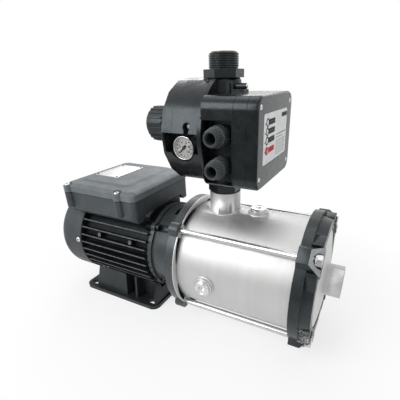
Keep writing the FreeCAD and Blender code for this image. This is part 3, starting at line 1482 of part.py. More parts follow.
def terminal_box_lid_screws():
    """Cross-head screws on the lid's columns."""
    return group([headed_screw(spot, Z_AXIS, SCREW_SEAT_Z, LID_SCREW_HEAD_R, LID_SCREW_HEAD, LID_SCREW_R,
                               BOX_SPLIT - LID_SCREW_GRIP) for spot in box_columns()])


def box_floor():
    """Height of the terminal box's inner floor."""
    return PAD_TOP + BOX_WALL


def terminal_block():
    """Connection block with its row of clamps."""
    seat = box_floor() + CLAMP_BASE
    pieces = [block(CLAMP_START, CLAMP_END, -CLAMP_HALF, CLAMP_HALF, box_floor(), seat)]
    for k in range(CLAMP_COUNT):
        y = CLAMP_FIRST + CLAMP_PITCH * k
        pieces.append(block(CLAMP_START + CLAMP_INSET, CLAMP_END - CLAMP_INSET, y, y + CLAMP_WIDTH,
                            seat, seat + CLAMP_HEIGHT))
    return fused(pieces)


def capacitor():
    """Run capacitor lying on the box floor."""
    base = V(0, CAPACITOR_Y, box_floor() + CAPACITOR_R)
    can = rod(CAPACITOR_R, CAPACITOR_START, CAPACITOR_END, base)
    neck = rod(CAPACITOR_NECK_R, CAPACITOR_END, CAPACITOR_END + CAPACITOR_NECK, base)
    return fused([can, neck])


def terminal_box_gland():
    """Cable gland on the side away from the viewer."""
    base = V(ENTRY_X, BOX_HALF_WIDTH, ENTRY_Z)
    shoulder = ENTRY_NUT_END - ENTRY_NUT_TAPER
    body = hexagon(ENTRY_HEX_AF, 0.0, ENTRY_HEX, base, Y_AXIS)
    nut = turned([
        (ENTRY_HEX, 0.0), (ENTRY_HEX, ENTRY_NUT_R), (shoulder, ENTRY_NUT_R),
        (ENTRY_NUT_END, ENTRY_NUT_R - ENTRY_NUT_MOUTH), (ENTRY_NUT_END, 0.0)], base, Y_AXIS)
    shank = rod(ENTRY_R - SEAT_GAP, -ENTRY_HEX, ENTRY_HEX / 2, base, Y_AXIS)
    bore = rod(ENTRY_BORE_R, -ENTRY_HEX - OVER, ENTRY_NUT_END + OVER, base, Y_AXIS)
    return fused([body, nut, shank]).cut(bore)


# Controller


def drum_axis():
    """A point on the axis of the controller's drum."""
    return V(0, 0, DRUM_Z)


def spring_axis():
    """A point on the axis of diaphragm, spring and cap."""
    return V(0, 0, SPRING_Z)


def drum_section(start, end):
    """Many-sided block in the drum's outline."""
    points = [drum_axis() + on_side(DRUM_R, angle, start)
              for angle in evenly(DRUM_SIDE_COUNT, DRUM_FIRST_ANGLE)]
    return polygon_bar(points, V(end - start, 0, 0))


def gauge_base():
    """Centre of the gauge on the recess floor, looking out of the recess."""
    return V(GAUGE_X, RECESS_Y, GAUGE_Z)


def gauge_screw_place():
    """A point on the gauge screw's axis."""
    return V(GAUGE_SCREW_X, 0, DRUM_Z + GAUGE_SCREW_RISE)


def recess_cuts():
    """The gauge's recess: a shelf, a round well, and a keyhole for the gauge screw."""
    well = rod(GAUGE_R + GAUGE_ROOM, 0, DRUM_R, gauge_base(), NEAR)
    near = -DRUM_R - OVER
    shelf = block(COVER_REAR + RECESS_REAR_WALL, DRUM_FRONT - RECESS_FRONT_WALL, near, RECESS_Y,
                  DRUM_Z - RECESS_DROP, DRUM_Z + RECESS_RISE)
    spot = gauge_screw_place()
    hole = rod(GAUGE_SCREW_WELL_R, -GAUGE_SCREW_SEAT_Y, DRUM_R, spot, NEAR)
    slot = block(GAUGE_SCREW_X - GAUGE_SCREW_SLOT_HALF, GAUGE_SCREW_X + GAUGE_SCREW_SLOT_HALF, near,
                 GAUGE_SCREW_SEAT_Y, DRUM_Z, spot.z)
    return [well, shelf, hole, slot]


def cavity(inset, start, end):
    """Inner space of the squarish electronics end."""
    return slab_x(start, end, -CASE_HALF_WIDTH + inset, CASE_HALF_WIDTH - inset,
                  CASE_BOTTOM + inset, CASE_TOP - inset, CASE_CORNER_R - inset)


def gland_zs():
    """Heights of the two cable glands."""
    return [DRUM_Z + rise for rise in GLAND_RISES]


def lower_port():
    """Threaded inlet of the controller with its hexagon and the neck up to the drum."""
    top = DRUM_Z - DRUM_R + PORT_SUNK
    neck = turned([
        (THREAD_BOTTOM, 0.0), (THREAD_BOTTOM, PORT_THREAD_R - THREAD_LEAD),
        (THREAD_BOTTOM + THREAD_LEAD, PORT_THREAD_R), (LOWER_HEX_BOTTOM, PORT_THREAD_R),
        (LOWER_HEX_BOTTOM, LOWER_NECK_R), (LOWER_HEX_TOP, LOWER_NECK_TOP_R), (top, LOWER_NECK_TOP_R),
        (top, 0.0)], outlet_axis(), Z_AXIS)
    return [neck, hexagon(LOWER_HEX_AF, LOWER_HEX_BOTTOM, LOWER_HEX_TOP, outlet_axis(), Z_AXIS)]


def clip_axis():
    """A point on the axis of the round boss on top of the case."""
    return V(0, (CLIP_Y[0] + CLIP_Y[1]) / 2, CASE_TOP + CLIP_BOSS_RISE)


def top_clip():
    """Small clip on top of the case: base, upright web and a round boss."""
    top = CASE_TOP + CLIP_HEIGHT
    base = block(*CLIP_X, *CLIP_Y, CASE_TOP - CASE_SUNK, top)
    web = block(CLIP_X[0], CLIP_X[0] + CASE_LEDGE, *CLIP_Y, top, clip_axis().z + CLIP_BOSS_R)
    return [base, web, rod(CLIP_BOSS_R, CLIP_X[0], CLIP_X[1], clip_axis())]


def water_way():
    """Passage through the controller: inlet, valve seat, valve chamber, outlet."""
    seat = VALVE_SEAT - VALVE_SEAT_WIDTH
    return turned([
        (THREAD_BOTTOM - OVER, 0.0), (THREAD_BOTTOM - OVER, PASSAGE_R), (seat, PASSAGE_R),
        (seat, VALVE_SEAT_R), (VALVE_SEAT, VALVE_SEAT_R), (VALVE_SEAT, VALVE_CHAMBER_R),
        (VALVE_GUIDE_Z, VALVE_CHAMBER_R), (VALVE_GUIDE_Z, PASSAGE_R), (THREAD_TOP + OVER, PASSAGE_R),
        (THREAD_TOP + OVER, 0.0)], outlet_axis(), Z_AXIS)


def pressure_chamber():
    """Water side of the diaphragm, with the bores that feed it and the gauge."""
    mouth = DRUM_REAR + DIAPHRAGM
    floor = mouth + CHAMBER_DEPTH
    space = turned([
        (DRUM_REAR - OVER, 0.0), (DRUM_REAR - OVER, DIAPHRAGM_R + SEAT_GAP), (mouth, DIAPHRAGM_R + SEAT_GAP),
        (mouth, CHAMBER_MOUTH_R), (floor, CHAMBER_FLOOR_R), (floor, 0.0)], spring_axis())
    feed = rod(SENSE_BORE_R, mouth, OUTLET_X, V(0, 0, GAUGE_Z))
    return [space, feed, rod(GAUGE_BORE_R, 0, -RECESS_Y + OVER, V(GAUGE_X, 0, GAUGE_Z), NEAR)]


def controller_body():
    """Moulded body: pressure drum, rim, gauge recess, gland panel, ports and passage."""
    drum = drum_section(DRUM_REAR, DRUM_FRONT).cut(recess_cuts())
    rim = rod(RING_R, DRUM_FRONT, RING_END, drum_axis())
    case = cavity(0.0, RING_END - CASE_SUNK, CASE_SPLIT)
    panel_top = gland_zs()[0] + PANEL_ROOF
    case = case.cut(block(RING_END, CASE_SPLIT - PANEL_FRONT, -CASE_HALF_WIDTH - OVER, PANEL_Y,
                          CASE_BOTTOM + PANEL_SIDE, panel_top))
    collar = rod(PORT_COLLAR_R, CASE_TOP - CASE_SUNK, FITTING_SEAT_Z, outlet_axis(), Z_AXIS)
    whole = drum.fuse([rim, case, collar] + lower_port() + top_clip())
    wall_end = RING_END + VALVE_CHAMBER_R
    room = cavity(CASE_WALL, wall_end, CASE_SPLIT + OVER)
    room = room.cut(block(RING_END, CASE_SPLIT + 2 * OVER, -CASE_HALF_WIDTH, PANEL_Y + CASE_WALL,
                          CASE_BOTTOM, panel_top + CASE_WALL))
    cuts = [water_way(), room]
    cuts += pressure_chamber()
    cuts.append(rod(FITTING_SPIGOT_R + SEAT_GAP, FITTING_SEAT_Z - FITTING_SPIGOT - SEAT_GAP,
                    FITTING_SEAT_Z + OVER, outlet_axis(), Z_AXIS))
    cuts.append(rod(RIM_NOTCH_R, FITTING_SEAT_Z, DRUM_Z + RING_R + OVER, outlet_axis(), Z_AXIS))
    for z in gland_zs():
        cuts.append(rod(GLAND_SHANK_R + SEAT_GAP, -PANEL_Y - GLAND_HOLE_DEPTH, -PANEL_Y + OVER,
                        V(GLAND_X, 0, z), NEAR))
        cuts.append(block(GLAND_X - WIRE_LEAD, wall_end + OVER, PANEL_Y + OVER,
                          PANEL_Y + GLAND_HOLE_DEPTH + OVER, z - WIRE_HALF_HEIGHT, z + WIRE_HALF_HEIGHT))
    for spot in rear_screw_spots():
        cuts.append(rod(REAR_SCREW_R + SEAT_GAP, DRUM_REAR - OVER, DRUM_REAR + REAR_SCREW_DRILLED, spot))
    cuts.append(rod(GAUGE_SCREW_R + SEAT_GAP, -GAUGE_SCREW_SEAT_Y - GAUGE_SCREW_DRILLED,
                    -GAUGE_SCREW_SEAT_Y + OVER, gauge_screw_place(), NEAR))
    cuts.append(rod(CLIP_SCREW_R + SEAT_GAP, CLIP_X[1] - CLIP_SCREW_DRILLED, CLIP_X[1] + OVER, clip_axis()))
    return whole.cut(cuts).removeSplitter()


def outlet_fitting():
    """Upper hexagon with the outlet's thread, set into the body's collar."""
    spigot = FITTING_SEAT_Z - FITTING_SPIGOT
    shape = turned([
        (spigot, PASSAGE_R), (spigot, FITTING_SPIGOT_R), (FITTING_SEAT_Z, FITTING_SPIGOT_R),
        (FITTING_SEAT_Z, PORT_COLLAR_R), (UPPER_HEX_BOTTOM, UPPER_HEX_CONE_R),
        (UPPER_HEX_TOP, UPPER_HEX_CONE_R), (UPPER_HEX_TOP, PORT_THREAD_R),
        (THREAD_TOP - UPPER_THREAD_LEAD, PORT_THREAD_R), (THREAD_TOP, PORT_THREAD_R - UPPER_THREAD_LEAD),
        (THREAD_TOP, PASSAGE_R)], outlet_axis(), Z_AXIS)
    flats = hexagon(UPPER_HEX_AF, UPPER_HEX_BOTTOM, UPPER_HEX_TOP, outlet_axis(), Z_AXIS)
    bore = rod(PASSAGE_R, UPPER_HEX_BOTTOM - OVER, UPPER_HEX_TOP + OVER, outlet_axis(), Z_AXIS)
    return fused([shape, flats]).cut(bore)


def outlet_insert():
    """Bright liner of the outlet, whose spider guides the valve's stem."""
    out = outlet_axis()
    guide = VALVE_GUIDE_Z
    liner = tube(PASSAGE_R - LINER_PLAY, PASSAGE_R - LINER_WALL, guide, THREAD_TOP, out, Z_AXIS)
    hub = tube(GUIDE_HUB_R, STEM_R + STEM_PLAY, guide, guide + GUIDE_HUB, out, Z_AXIS)
    arm = block(OUTLET_X + GUIDE_ARM, OUTLET_X + PASSAGE_R - LINER_WALL / 2, -VALVE_LEG_HALF, VALVE_LEG_HALF,
                guide, guide + GUIDE_ARM)
    return fused([liner, hub] + turned_copies(arm, out, Z_AXIS, evenly(GUIDE_ARM_COUNT)))


def flow_valve():
    """Rising valve disc with its guide legs, stem and magnet ring."""
    out = outlet_axis()
    seat = VALVE_SEAT + SEAT_GAP
    cone = seat + VALVE_DISC + VALVE_CONE
    magnet = cone + VALVE_MAGNET
    tip = VALVE_GUIDE_Z + VALVE_STEM_ABOVE
    disc = turned([
        (seat, 0.0), (seat, VALVE_SEAT_R + VALVE_OVERLAP), (seat + VALVE_DISC, VALVE_SEAT_R + VALVE_OVERLAP),
        (cone, VALVE_MAGNET_R), (magnet, VALVE_MAGNET_R), (magnet, STEM_R), (tip, STEM_R), (tip, 0.0)],
        out, Z_AXIS)
    leg = block(OUTLET_X, OUTLET_X + VALVE_SEAT_R - RUNNING_GAP, -VALVE_LEG_HALF, VALVE_LEG_HALF,
                seat - VALVE_LEG, seat + VALVE_DISC / 2)
    legs = turned_copies(leg, out, Z_AXIS, evenly(VALVE_LEG_COUNT, 180.0 / VALVE_LEG_COUNT))
    return fused([disc] + legs)


def lid_screw_spots():
    """Points on the axes of the controller lid's screws."""
    spots = []
    y = CASE_HALF_WIDTH - FRONT_SCREW_INSET_Y
    for side in (-1, 1):
        for z in (CASE_BOTTOM + FRONT_SCREW_RISE, CASE_TOP - FRONT_SCREW_DROP):
            spots.append(V(0, side * y, z))
    return spots


def electronics_housing():
    """Moulded frame between the body and the lid, with screw posts for the lid."""
    start = CASE_SPLIT + SEAT_GAP
    ledge_end = start + CASE_LEDGE
    shell = cavity(0.0, start, CASE_FRONT).cut(cavity(CASE_WALL, start - OVER, CASE_FRONT + OVER))
    ledge = cavity(CASE_WALL / 2, start, ledge_end)
    ledge = ledge.cut(cavity(CASE_LEDGE_DEPTH, start - OVER, ledge_end + OVER))
    posts = [rod(CASE_POST_R, start, CASE_FRONT, spot) for spot in lid_screw_spots()]
    holes = [rod(LID_SCREW_R + SEAT_GAP, start + CASE_POST_DRILLED, CASE_FRONT + OVER, spot)
             for spot in lid_screw_spots()]
    return fused([shell, ledge] + posts).cut(holes)


def indicator_place(z):
    """A point on the axis of a lamp or the button, on the near side of the lid."""
    return V(0, INDICATOR_Y, z)


def lens_places():
    """Points on the three lamps' axes."""
    return [indicator_place(DRUM_Z + rise) for rise in LENS_RISES]


def controller_lid():
    """Front lid with bevelled rim, label seat, indicator windows and button hole."""
    half = CASE_HALF_WIDTH
    shoulder = LID_FRONT - FRONT_LID_EDGE
    start = CASE_FRONT + SEAT_GAP
    edge = FRONT_LID_CHAMFER
    wall = FRONT_LID_WALL
    body = slab_x(start, shoulder, -half, half, CASE_BOTTOM, CASE_TOP, CASE_CORNER_R)
    low = rounded_wire(-half, half, CASE_BOTTOM, CASE_TOP, CASE_CORNER_R, lambda u, v: V(shoulder, u, v))
    high = rounded_wire(-half + edge, half - edge, CASE_BOTTOM + edge, CASE_TOP - edge, CASE_CORNER_R - edge,
                        lambda u, v: V(LID_FRONT, u, v))
    crown = Part.makeLoft([low, high], True, True)
    inside = cavity(wall, start - OVER, LID_FRONT - FRONT_LID_FACE)
    seat = LID_FRONT - FRONT_SCREW_SUNK
    end = LID_FRONT + OVER
    posts = [rod(CASE_POST_R, start, seat, spot) for spot in lid_screw_spots()]
    cuts = [slab_x(LID_FRONT - LABEL_SUNK, end, -LABEL_HALF_WIDTH, LABEL_HALF_WIDTH, DRUM_Z - LABEL_DROP,
                   DRUM_Z + LABEL_RISE, LABEL_CORNER_R)]
    for spot in lid_screw_spots():
        cuts.append(rod(LID_SCREW_R + SEAT_GAP, start - OVER, end, spot))
        cuts.append(rod(FRONT_SCREW_HEAD_R + FRONT_SCREW_ROOM, seat, end, spot))
    for spot in lens_places():
        cuts.append(rod(LENS_R + SEAT_GAP, start - OVER, end, spot))
    cuts.append(rod(BUTTON_R + RUNNING_GAP, start - OVER, end, indicator_place(BUTTON_Z)))
    return fused([fused([body, crown]).cut(inside)] + posts).cut(cuts)


def controller_screws():
    """Lid screws, the gauge's clamp screw and the clip's screw."""
    seat = LID_FRONT - FRONT_SCREW_SUNK
    screws = [headed_screw(spot, X_AXIS, seat, FRONT_SCREW_HEAD_R, FRONT_SCREW_HEAD, LID_SCREW_R,
                           CASE_SPLIT + FRONT_SCREW_GRIP) for spot in lid_screw_spots()]
    screws.append(headed_screw(gauge_screw_place(), NEAR, -GAUGE_SCREW_SEAT_Y, GAUGE_SCREW_HEAD_R,
                               GAUGE_SCREW_HEAD, GAUGE_SCREW_R, -GAUGE_SCREW_SEAT_Y - GAUGE_SCREW_GRIP))
    screws.append(headed_screw(clip_axis(), X_AXIS, CLIP_X[1], CLIP_SCREW_HEAD_R, CLIP_SCREW_HEAD,
                               CLIP_SCREW_R, CLIP_X[1] - CLIP_SCREW_GRIP))
    return group(screws)


def circuit_board():
    """Board behind the lid with its relay, terminals and lamp stems."""
    back = BOARD_X
    front = back + BOARD
    half = BOARD_HALF_WIDTH
    pieces = [slab_x(back, front, -half, half, CASE_BOTTOM + BOARD_INSET, CASE_TOP - BOARD_INSET,
                     BOARD_CORNER_R)]
    for (y0, y1), (z0, z1), depth in (RELAY, SCREW_TERMINALS):
        pieces.append(block(back - depth, back, y0, y1, DRUM_Z + z0, DRUM_Z + z1))
    pieces.append(rod(CHOKE_R, back - CHOKE, back, V(0, CHOKE_Y, DRUM_Z - CHOKE_DROP)))
    for spot in lens_places():
        pieces.append(rod(BOARD_STEM_R, front, CASE_FRONT + LENS_BACK - BOARD_STEM_GAP, spot))
    pieces.append(block(front, BUTTON_BACK - SWITCH_GAP, INDICATOR_Y - SWITCH_HALF, INDICATOR_Y + SWITCH_HALF,
                        BUTTON_Z - SWITCH_HALF, BUTTON_Z + SWITCH_HALF))
    return fused(pieces)


def indicator_lenses():
    """Clear lenses of the three lamps."""
    start = CASE_FRONT + LENS_BACK
    lenses = []
    for spot in lens_places():
        lenses.append(fused([rod(LENS_R, start, LID_FRONT, spot),
                             rod(LENS_R + LENS_FLANGE, start, LID_FRONT - LENS_FLANGE_GAP, spot)]))
    return group(lenses)


def restart_button():
    """Round push button with the flange that keeps it behind the lid."""
    base = indicator_place(BUTTON_Z)
    cap = rod(BUTTON_R, BUTTON_BACK, LID_FRONT + BUTTON_PROUD, base)
    flange = rod(BUTTON_R + BUTTON_FLANGE, BUTTON_BACK, LID_FRONT - BUTTON_FLANGE_GAP, base)
    return fused([cap, flange])


def gland_bodies():
    """Knurled gland bodies screwed into the side panel."""
    glands = []
    edge = GLAND_CHAMFER
    for z in gland_zs():
        base = V(GLAND_X, PANEL_Y, z)
        shank = rod(GLAND_SHANK_R, -GLAND_SHANK, edge, base, NEAR)
        collar = turned([
            (0, 0), (0, GLAND_BASE_R - edge), (edge, GLAND_BASE_R), (GLAND_BASE - edge, GLAND_BASE_R),
            (GLAND_BASE, GLAND_BASE_R - edge), (GLAND_BASE, 0)], base, NEAR)
        bore = rod(GLAND_BORE_R, -GLAND_SHANK - OVER, GLAND_BASE + OVER, base, NEAR)
        glands.append(fused([shank, collar]).cut(bore))
    return group(glands)


def gland_nuts():
    """Conical nuts that close on the cables."""
    nuts = []
    length = PANEL_Y - GLAND_MOUTH_Y
    start = GLAND_BASE + SEAT_GAP
    skirt_r = GLAND_BASE_R - GLAND_NUT_STEP
    skirt = start + GLAND_NUT_SKIRT
    lip = length - GLAND_CHAMFER
    for z in gland_zs():
        nuts.append(turned([
            (start, GLAND_BORE_R), (start, skirt_r), (skirt, skirt_r), (lip, GLAND_NUT_R),
            (length, GLAND_MOUTH_R), (length, GLAND_BORE_R)], V(GLAND_X, PANEL_Y, z), NEAR))
    return group(nuts)


# Pressure side of the controller


def rear_screw_spots():
    """Points on the axes of the rear cover's screws."""
    return [drum_axis() + on_side(REAR_SCREW_CIRCLE_R, angle)
            for angle in evenly(REAR_SCREW_COUNT, REAR_SCREW_ANGLE)]


def rear_cover():
    """Faceted plate with a dome that clamps the diaphragm and guides the spring."""
    face = DRUM_REAR
    dome = COVER_REAR - COVER_DOME_EDGE
    bore = COVER_NECK_R - COVER_NECK_WALL
    neck = CAP_START + CAP_OVERLAP
    shell = turned([
        (face, 0.0), (COVER_REAR, COVER_DOME_R), (dome, COVER_DOME_R - COVER_DOME_EDGE),
        (dome - COVER_DOME, COVER_DOME_TOP_R), (CAP_END, COVER_NECK_ROOT_R),
        (CAP_END - COVER_NECK_STEP, COVER_NECK_R), (neck, COVER_NECK_R), (neck, 0.0)], spring_axis())
    throat = face - COVER_THROAT
    pocket = turned([
        (face + OVER, 0.0), (face + OVER, CHAMBER_MOUTH_R), (face - COVER_POCKET, CHAMBER_MOUTH_R),
        (face - COVER_POCKET - COVER_POCKET_TAPER, CHAMBER_MOUTH_R - COVER_POCKET_STEP),
        (throat, COVER_THROAT_R), (throat - COVER_POCKET_TAPER, bore), (neck - OVER, bore),
        (neck - OVER, 0.0)], spring_axis())
    cuts = [pocket] + recess_cuts()
    for spot in rear_screw_spots():
        cuts.append(rod(REAR_SCREW_R + SEAT_GAP, COVER_REAR - OVER, face + OVER, spot))
    return fused([drum_section(COVER_REAR, face), shell]).cut(cuts)


def rear_cover_screws():
    """Screws that clamp the diaphragm."""
    back = V(-1, 0, 0)
    tip = -DRUM_REAR - REAR_SCREW_GRIP
    return group([headed_screw(spot, back, -COVER_REAR, REAR_SCREW_HEAD_R, REAR_SCREW_HEAD, REAR_SCREW_R, tip)
                  for spot in rear_screw_spots()])


def diaphragm():
    """Rubber disc between the water side and the spring side."""
    return rod(DIAPHRAGM_R, DRUM_REAR, DRUM_REAR + DIAPHRAGM, spring_axis())


def plate_face():
    """The pressure plate's face against the diaphragm."""
    return DRUM_REAR - SEAT_GAP


def pressure_plate():
    """Plate that the diaphragm pushes back against the spring."""
    face = plate_face()
    rim = face - PLATE_RIM
    rim_r = SPRING_R + SPRING_SIDE
    return turned([
        (face, 0.0), (face, PLATE_R), (face - PLATE_THICKNESS, PLATE_R),
        (face - PLATE_THICKNESS, rim_r + PLATE_RIM_WALL), (rim, rim_r + PLATE_RIM_WALL), (rim, rim_r),
        (face - SPRING_SEAT, rim_r), (face - SPRING_SEAT, SPRING_R - SPRING_GUIDE_ROOT),
        (face - SPRING_GUIDE, SPRING_R - SPRING_GUIDE_TIP), (face - SPRING_GUIDE, 0.0)], spring_axis())


def pressure_spring():
    """Compression spring between the pressure plate and the adjusting seat."""
    start = plate_face() - SPRING_SEAT - SPRING_WIRE_R - SEAT_GAP
    end = SEAT_X + SPRING_WIRE_R + SEAT_GAP
    pitch = (start - end) / SPRING_TURN_COUNT
    helix = Part.makeHelix(pitch, start - end, SPRING_R)
    section = Part.Wire([Part.makeCircle(SPRING_WIRE_R, V(SPRING_R, 0, 0), Y_AXIS)])
    wire = Part.Wire(helix).makePipeShell([section], True, True)
    wire.rotate(ORIGIN, Y_AXIS, 90)
    wire.translate(V(end, 0, SPRING_Z))
    return wire


def spring_cap():
    """Ribbed round cap screwed over the rear cover's neck."""
    bore = COVER_NECK_R + SEAT_GAP
    mouth = CAP_END - CAP_MOUTH_GAP
    hole = ADJUSTER_R + SEAT_GAP
    cap = turned([
        (mouth, bore), (mouth, CAP_R), (CAP_START + CAP_CHAMFER, CAP_R), (CAP_START, CAP_R - CAP_FACE_STEP),
        (CAP_START, hole), (CAP_START + CAP_WALL, hole), (CAP_START + CAP_WALL, bore)], spring_axis())
    rib = block(CAP_START + CAP_CHAMFER, mouth, -CAP_R - CAP_RIB, -CAP_R + CAP_RIB_SUNK,
                SPRING_Z - CAP_RIB_HALF, SPRING_Z + CAP_RIB_HALF)
    return fused([cap] + turned_copies(rib, spring_axis(), X_AXIS, evenly(CAP_RIB_COUNT)))


def adjusting_screw():
    """Screw with the seat that sets the spring's preload."""
    head = CAP_START - ADJUSTER_HEAD
    under = CAP_START - SEAT_GAP
    back = SEAT_X - SEAT_THICKNESS
    guide = SEAT_X + SEAT_GUIDE
    seat_r = COVER_NECK_R - SEAT_SIDE
    return turned([
        (head, 0.0), (head, ADJUSTER_HEAD_R), (under, ADJUSTER_HEAD_R), (under, ADJUSTER_R),
        (back, ADJUSTER_R), (back, seat_r), (SEAT_X, seat_r), (SEAT_X, SPRING_R - SPRING_GUIDE_ROOT),
        (guide, SPRING_R - SPRING_GUIDE_TIP), (guide, 0.0)], spring_axis())


# Gauge


def gauge_depth():
    """Distance from the recess floor to the front of the bezel."""
    return RECESS_Y - GAUGE_FRONT_Y


def gauge_case():
    """Gauge case with its bezel, dial plate and the pointer's pivot pin."""
    depth = gauge_depth()
    body_r = GAUGE_R - GAUGE_BODY_STEP
    bezel = depth - GAUGE_BEZEL
    inner = GAUGE_R - GAUGE_BEZEL_WALL
    case = turned([
        (0, 0), (0, body_r), (bezel, body_r), (bezel, GAUGE_R), (depth, GAUGE_R), (depth, inner),
        (DIAL_DEPTH, inner), (DIAL_DEPTH, 0)], gauge_base(), NEAR)
    return fused([case, rod(PIVOT_R, DIAL_DEPTH - OVER, DIAL_DEPTH + PIVOT_LENGTH, gauge_base(), NEAR)])


def gauge_pointer():
    """Pointer with its hub and counterweight, at the zero end of the dial."""
    base = gauge_base()
    start = DIAL_DEPTH + RUNNING_GAP
    hub = tube(POINTER_HUB_R, POINTER_BORE, start, start + POINTER_HUB, base, NEAR)
    centre = base + NEAR * start
    hand = [centre + V(-POINTER_TAIL_HALF, 0, POINTER_TAIL),
            centre + V(-POINTER_TIP_HALF, 0, -POINTER_LENGTH),
            centre + V(POINTER_TIP_HALF, 0, -POINTER_LENGTH),
            centre + V(POINTER_TAIL_HALF, 0, POINTER_TAIL)]
    blade = polygon_bar(hand, NEAR * POINTER_BLADE)
    hole = rod(POINTER_BORE, 0, start + POINTER_HUB + OVER, base, NEAR)
    pointer = blade.fuse(hub).cut(hole).removeSplitter()
    pointer.rotate(base, NEAR, POINTER_REST_ANGLE)
    return pointer


def gauge_glass():
    """Flat window of the gauge."""
    top = gauge_depth() - GLASS_SET
    return rod(GAUGE_R - GAUGE_BEZEL_WALL - GLASS_PLAY, top - GLASS, top, gauge_base(), NEAR)


def nodes():
    """Every piece of the pump under its node's name."""
    return {
        "fan_cover": fan_cover(),
        "fan_cover_screws": fan_cover_screws(),
        "cooling_fan": cooling_fan(),
        "rear_end_shield": rear_end_shield(),
        "motor_housing": motor_housing(),
        "stator_core": stator_core(),
        "stator_windings": stator_windings(),
        "rotor_core": rotor_core(),
        "shaft": shaft(),
        "bearing_outer_rings": bearing_outer_rings(),
        "bearing_inner_rings": bearing_inner_rings(),
        "bearing_balls": bearing_balls(),
        "pump_bracket": pump_bracket(),
        "bracket_screws": bracket_screws(),
        "motor_foot": motor_foot(),
        "foot_screws": foot_screws(),
        "terminal_box": terminal_box(),
        "terminal_box_gasket": terminal_box_gasket(),
        "terminal_box_lid": terminal_box_lid(),
        "terminal_box_lid_screws": terminal_box_lid_screws(),
        "terminal_block": terminal_block(),
        "capacitor": capacitor(),
        "terminal_box_gland": terminal_box_gland(),
        "pump_casing": pump_casing(),
        "casing_cover": casing_cover(),
        "casing_o_rings": casing_o_rings(),
        "seal_seat": seal_seat(),
        "seal_head": seal_head(),
        "impellers": impellers(),
        "impeller_spacers": impeller_spacers(),
        "shaft_nut": shaft_nut(),
        "stage_chambers": stage_chambers(),
        "discharge_spacer": discharge_spacer(),
        "front_clamp_flange": front_clamp_flange(),
        "tie_bolts": tie_bolts(),
        "tie_bolt_washers": tie_bolt_washers(),
        "fill_plug": plug(*fill_plug_place()),
        "drain_plug": plug(*drain_plug_place()),
        "controller_body": controller_body(),
        "outlet_fitting": outlet_fitting(),
        "outlet_insert": outlet_insert(),
        "flow_valve": flow_valve(),
        "electronics_housing": electronics_housing(),
        "controller_lid": controller_lid(),
        "controller_screws": controller_screws(),
        "circuit_board": circuit_board(),
        "indicator_lenses": indicator_lenses(),
        "restart_button": restart_button(),
        "gland_bodies": gland_bodies(),
        "gland_nuts": gland_nuts(),
        "rear_cover": rear_cover(),
        "rear_cover_screws": rear_cover_screws(),
        "diaphragm": diaphragm(),
        "pressure_plate": pressure_plate(),
        "pressure_spring": pressure_spring(),
        "spring_cap": spring_cap(),
        "adjusting_screw": adjusting_screw(),
        "gauge_case": gauge_case(),
        "gauge_pointer": gauge_pointer(),
        "gauge_glass": gauge_glass(),
    }


def place(shape):
    """Move a piece from the shaft's frame into the part's own frame."""
    moved = shape.copy()
    moved.translate(V(FOOT_TO_FACE, 0, SHAFT_HEIGHT))
    return moved


def main():
    """Write every node as a STEP file."""
    os.makedirs("parts", exist_ok=True)
    for name, shape in nodes().items():
        place(shape).exportStep("parts/" + name + ".step")


main()
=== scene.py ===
"""Looks of a multistage booster pump with a pressure controller on its outlet.

Sizes are in millimetres about the shaft: x is 0 at the bracket face that carries
the barrel and grows towards the suction port, y and z are 0 on the shaft. The
function at() turns such a place into the metres of the part's frame.
"""
from __future__ import annotations

import logging
import math
from dataclasses import dataclass
from enum import Enum
from typing import Iterable, Sequence

import bmesh
import bpy
from mathutils import Matrix, Vector

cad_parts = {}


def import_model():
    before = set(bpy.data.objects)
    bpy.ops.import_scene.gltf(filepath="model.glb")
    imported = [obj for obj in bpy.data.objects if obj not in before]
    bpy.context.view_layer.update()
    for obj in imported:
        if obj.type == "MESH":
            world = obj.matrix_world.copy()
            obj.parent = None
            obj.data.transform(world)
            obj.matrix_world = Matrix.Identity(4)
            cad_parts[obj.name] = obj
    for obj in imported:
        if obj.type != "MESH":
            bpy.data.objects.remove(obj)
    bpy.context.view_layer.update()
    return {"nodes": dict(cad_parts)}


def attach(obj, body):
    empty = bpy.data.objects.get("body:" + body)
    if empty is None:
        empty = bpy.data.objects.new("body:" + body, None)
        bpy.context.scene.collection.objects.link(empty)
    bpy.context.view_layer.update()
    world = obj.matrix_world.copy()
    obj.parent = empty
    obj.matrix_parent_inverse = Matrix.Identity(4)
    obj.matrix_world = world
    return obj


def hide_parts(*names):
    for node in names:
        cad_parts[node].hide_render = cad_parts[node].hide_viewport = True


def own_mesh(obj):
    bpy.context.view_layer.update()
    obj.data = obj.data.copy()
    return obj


LOG = logging.getLogger("booster_pump")
MM = 0.001
FACE_X = 130.0
SHAFT_Z = 92.0
BOLTS = range(4)
SIDES = (-1, 1)

Pair = tuple[float, float]
Triple = tuple[float, float, float]
Outline = Sequence[Pair]
Thing = bpy.types.Object
Socket = bpy.types.NodeSocket


class Way(Enum):
    """Named directions of the pump."""

    SUCTION = (1.0, 0.0, 0.0)
    MOTOR = (-1.0, 0.0, 0.0)
    NEAR = (0.0, -1.0, 0.0)
    FAR = (0.0, 1.0, 0.0)
    UP = (0.0, 0.0, 1.0)

    @property
    def vector(self) -> Vector:
        """The direction as a vector."""
        return Vector(self.value)


class Rider(Enum):
    """Bodies that the dressed pieces ride on."""

    PUMP = "pump"
    BUTTON = "restart_button"


class Drive(Enum):
    """Drives of the screws, each with its head's radius at the top as a share of the full one."""

    CROSS = 0.72
    SOCKET = 0.9


LEVEL = (Way.SUCTION.vector, Way.FAR.vector, Way.UP.vector)
FRONT = (Way.FAR.vector, Way.UP.vector, Way.SUCTION.vector)
HUB = Vector((0.0, 0.0, 0.0))


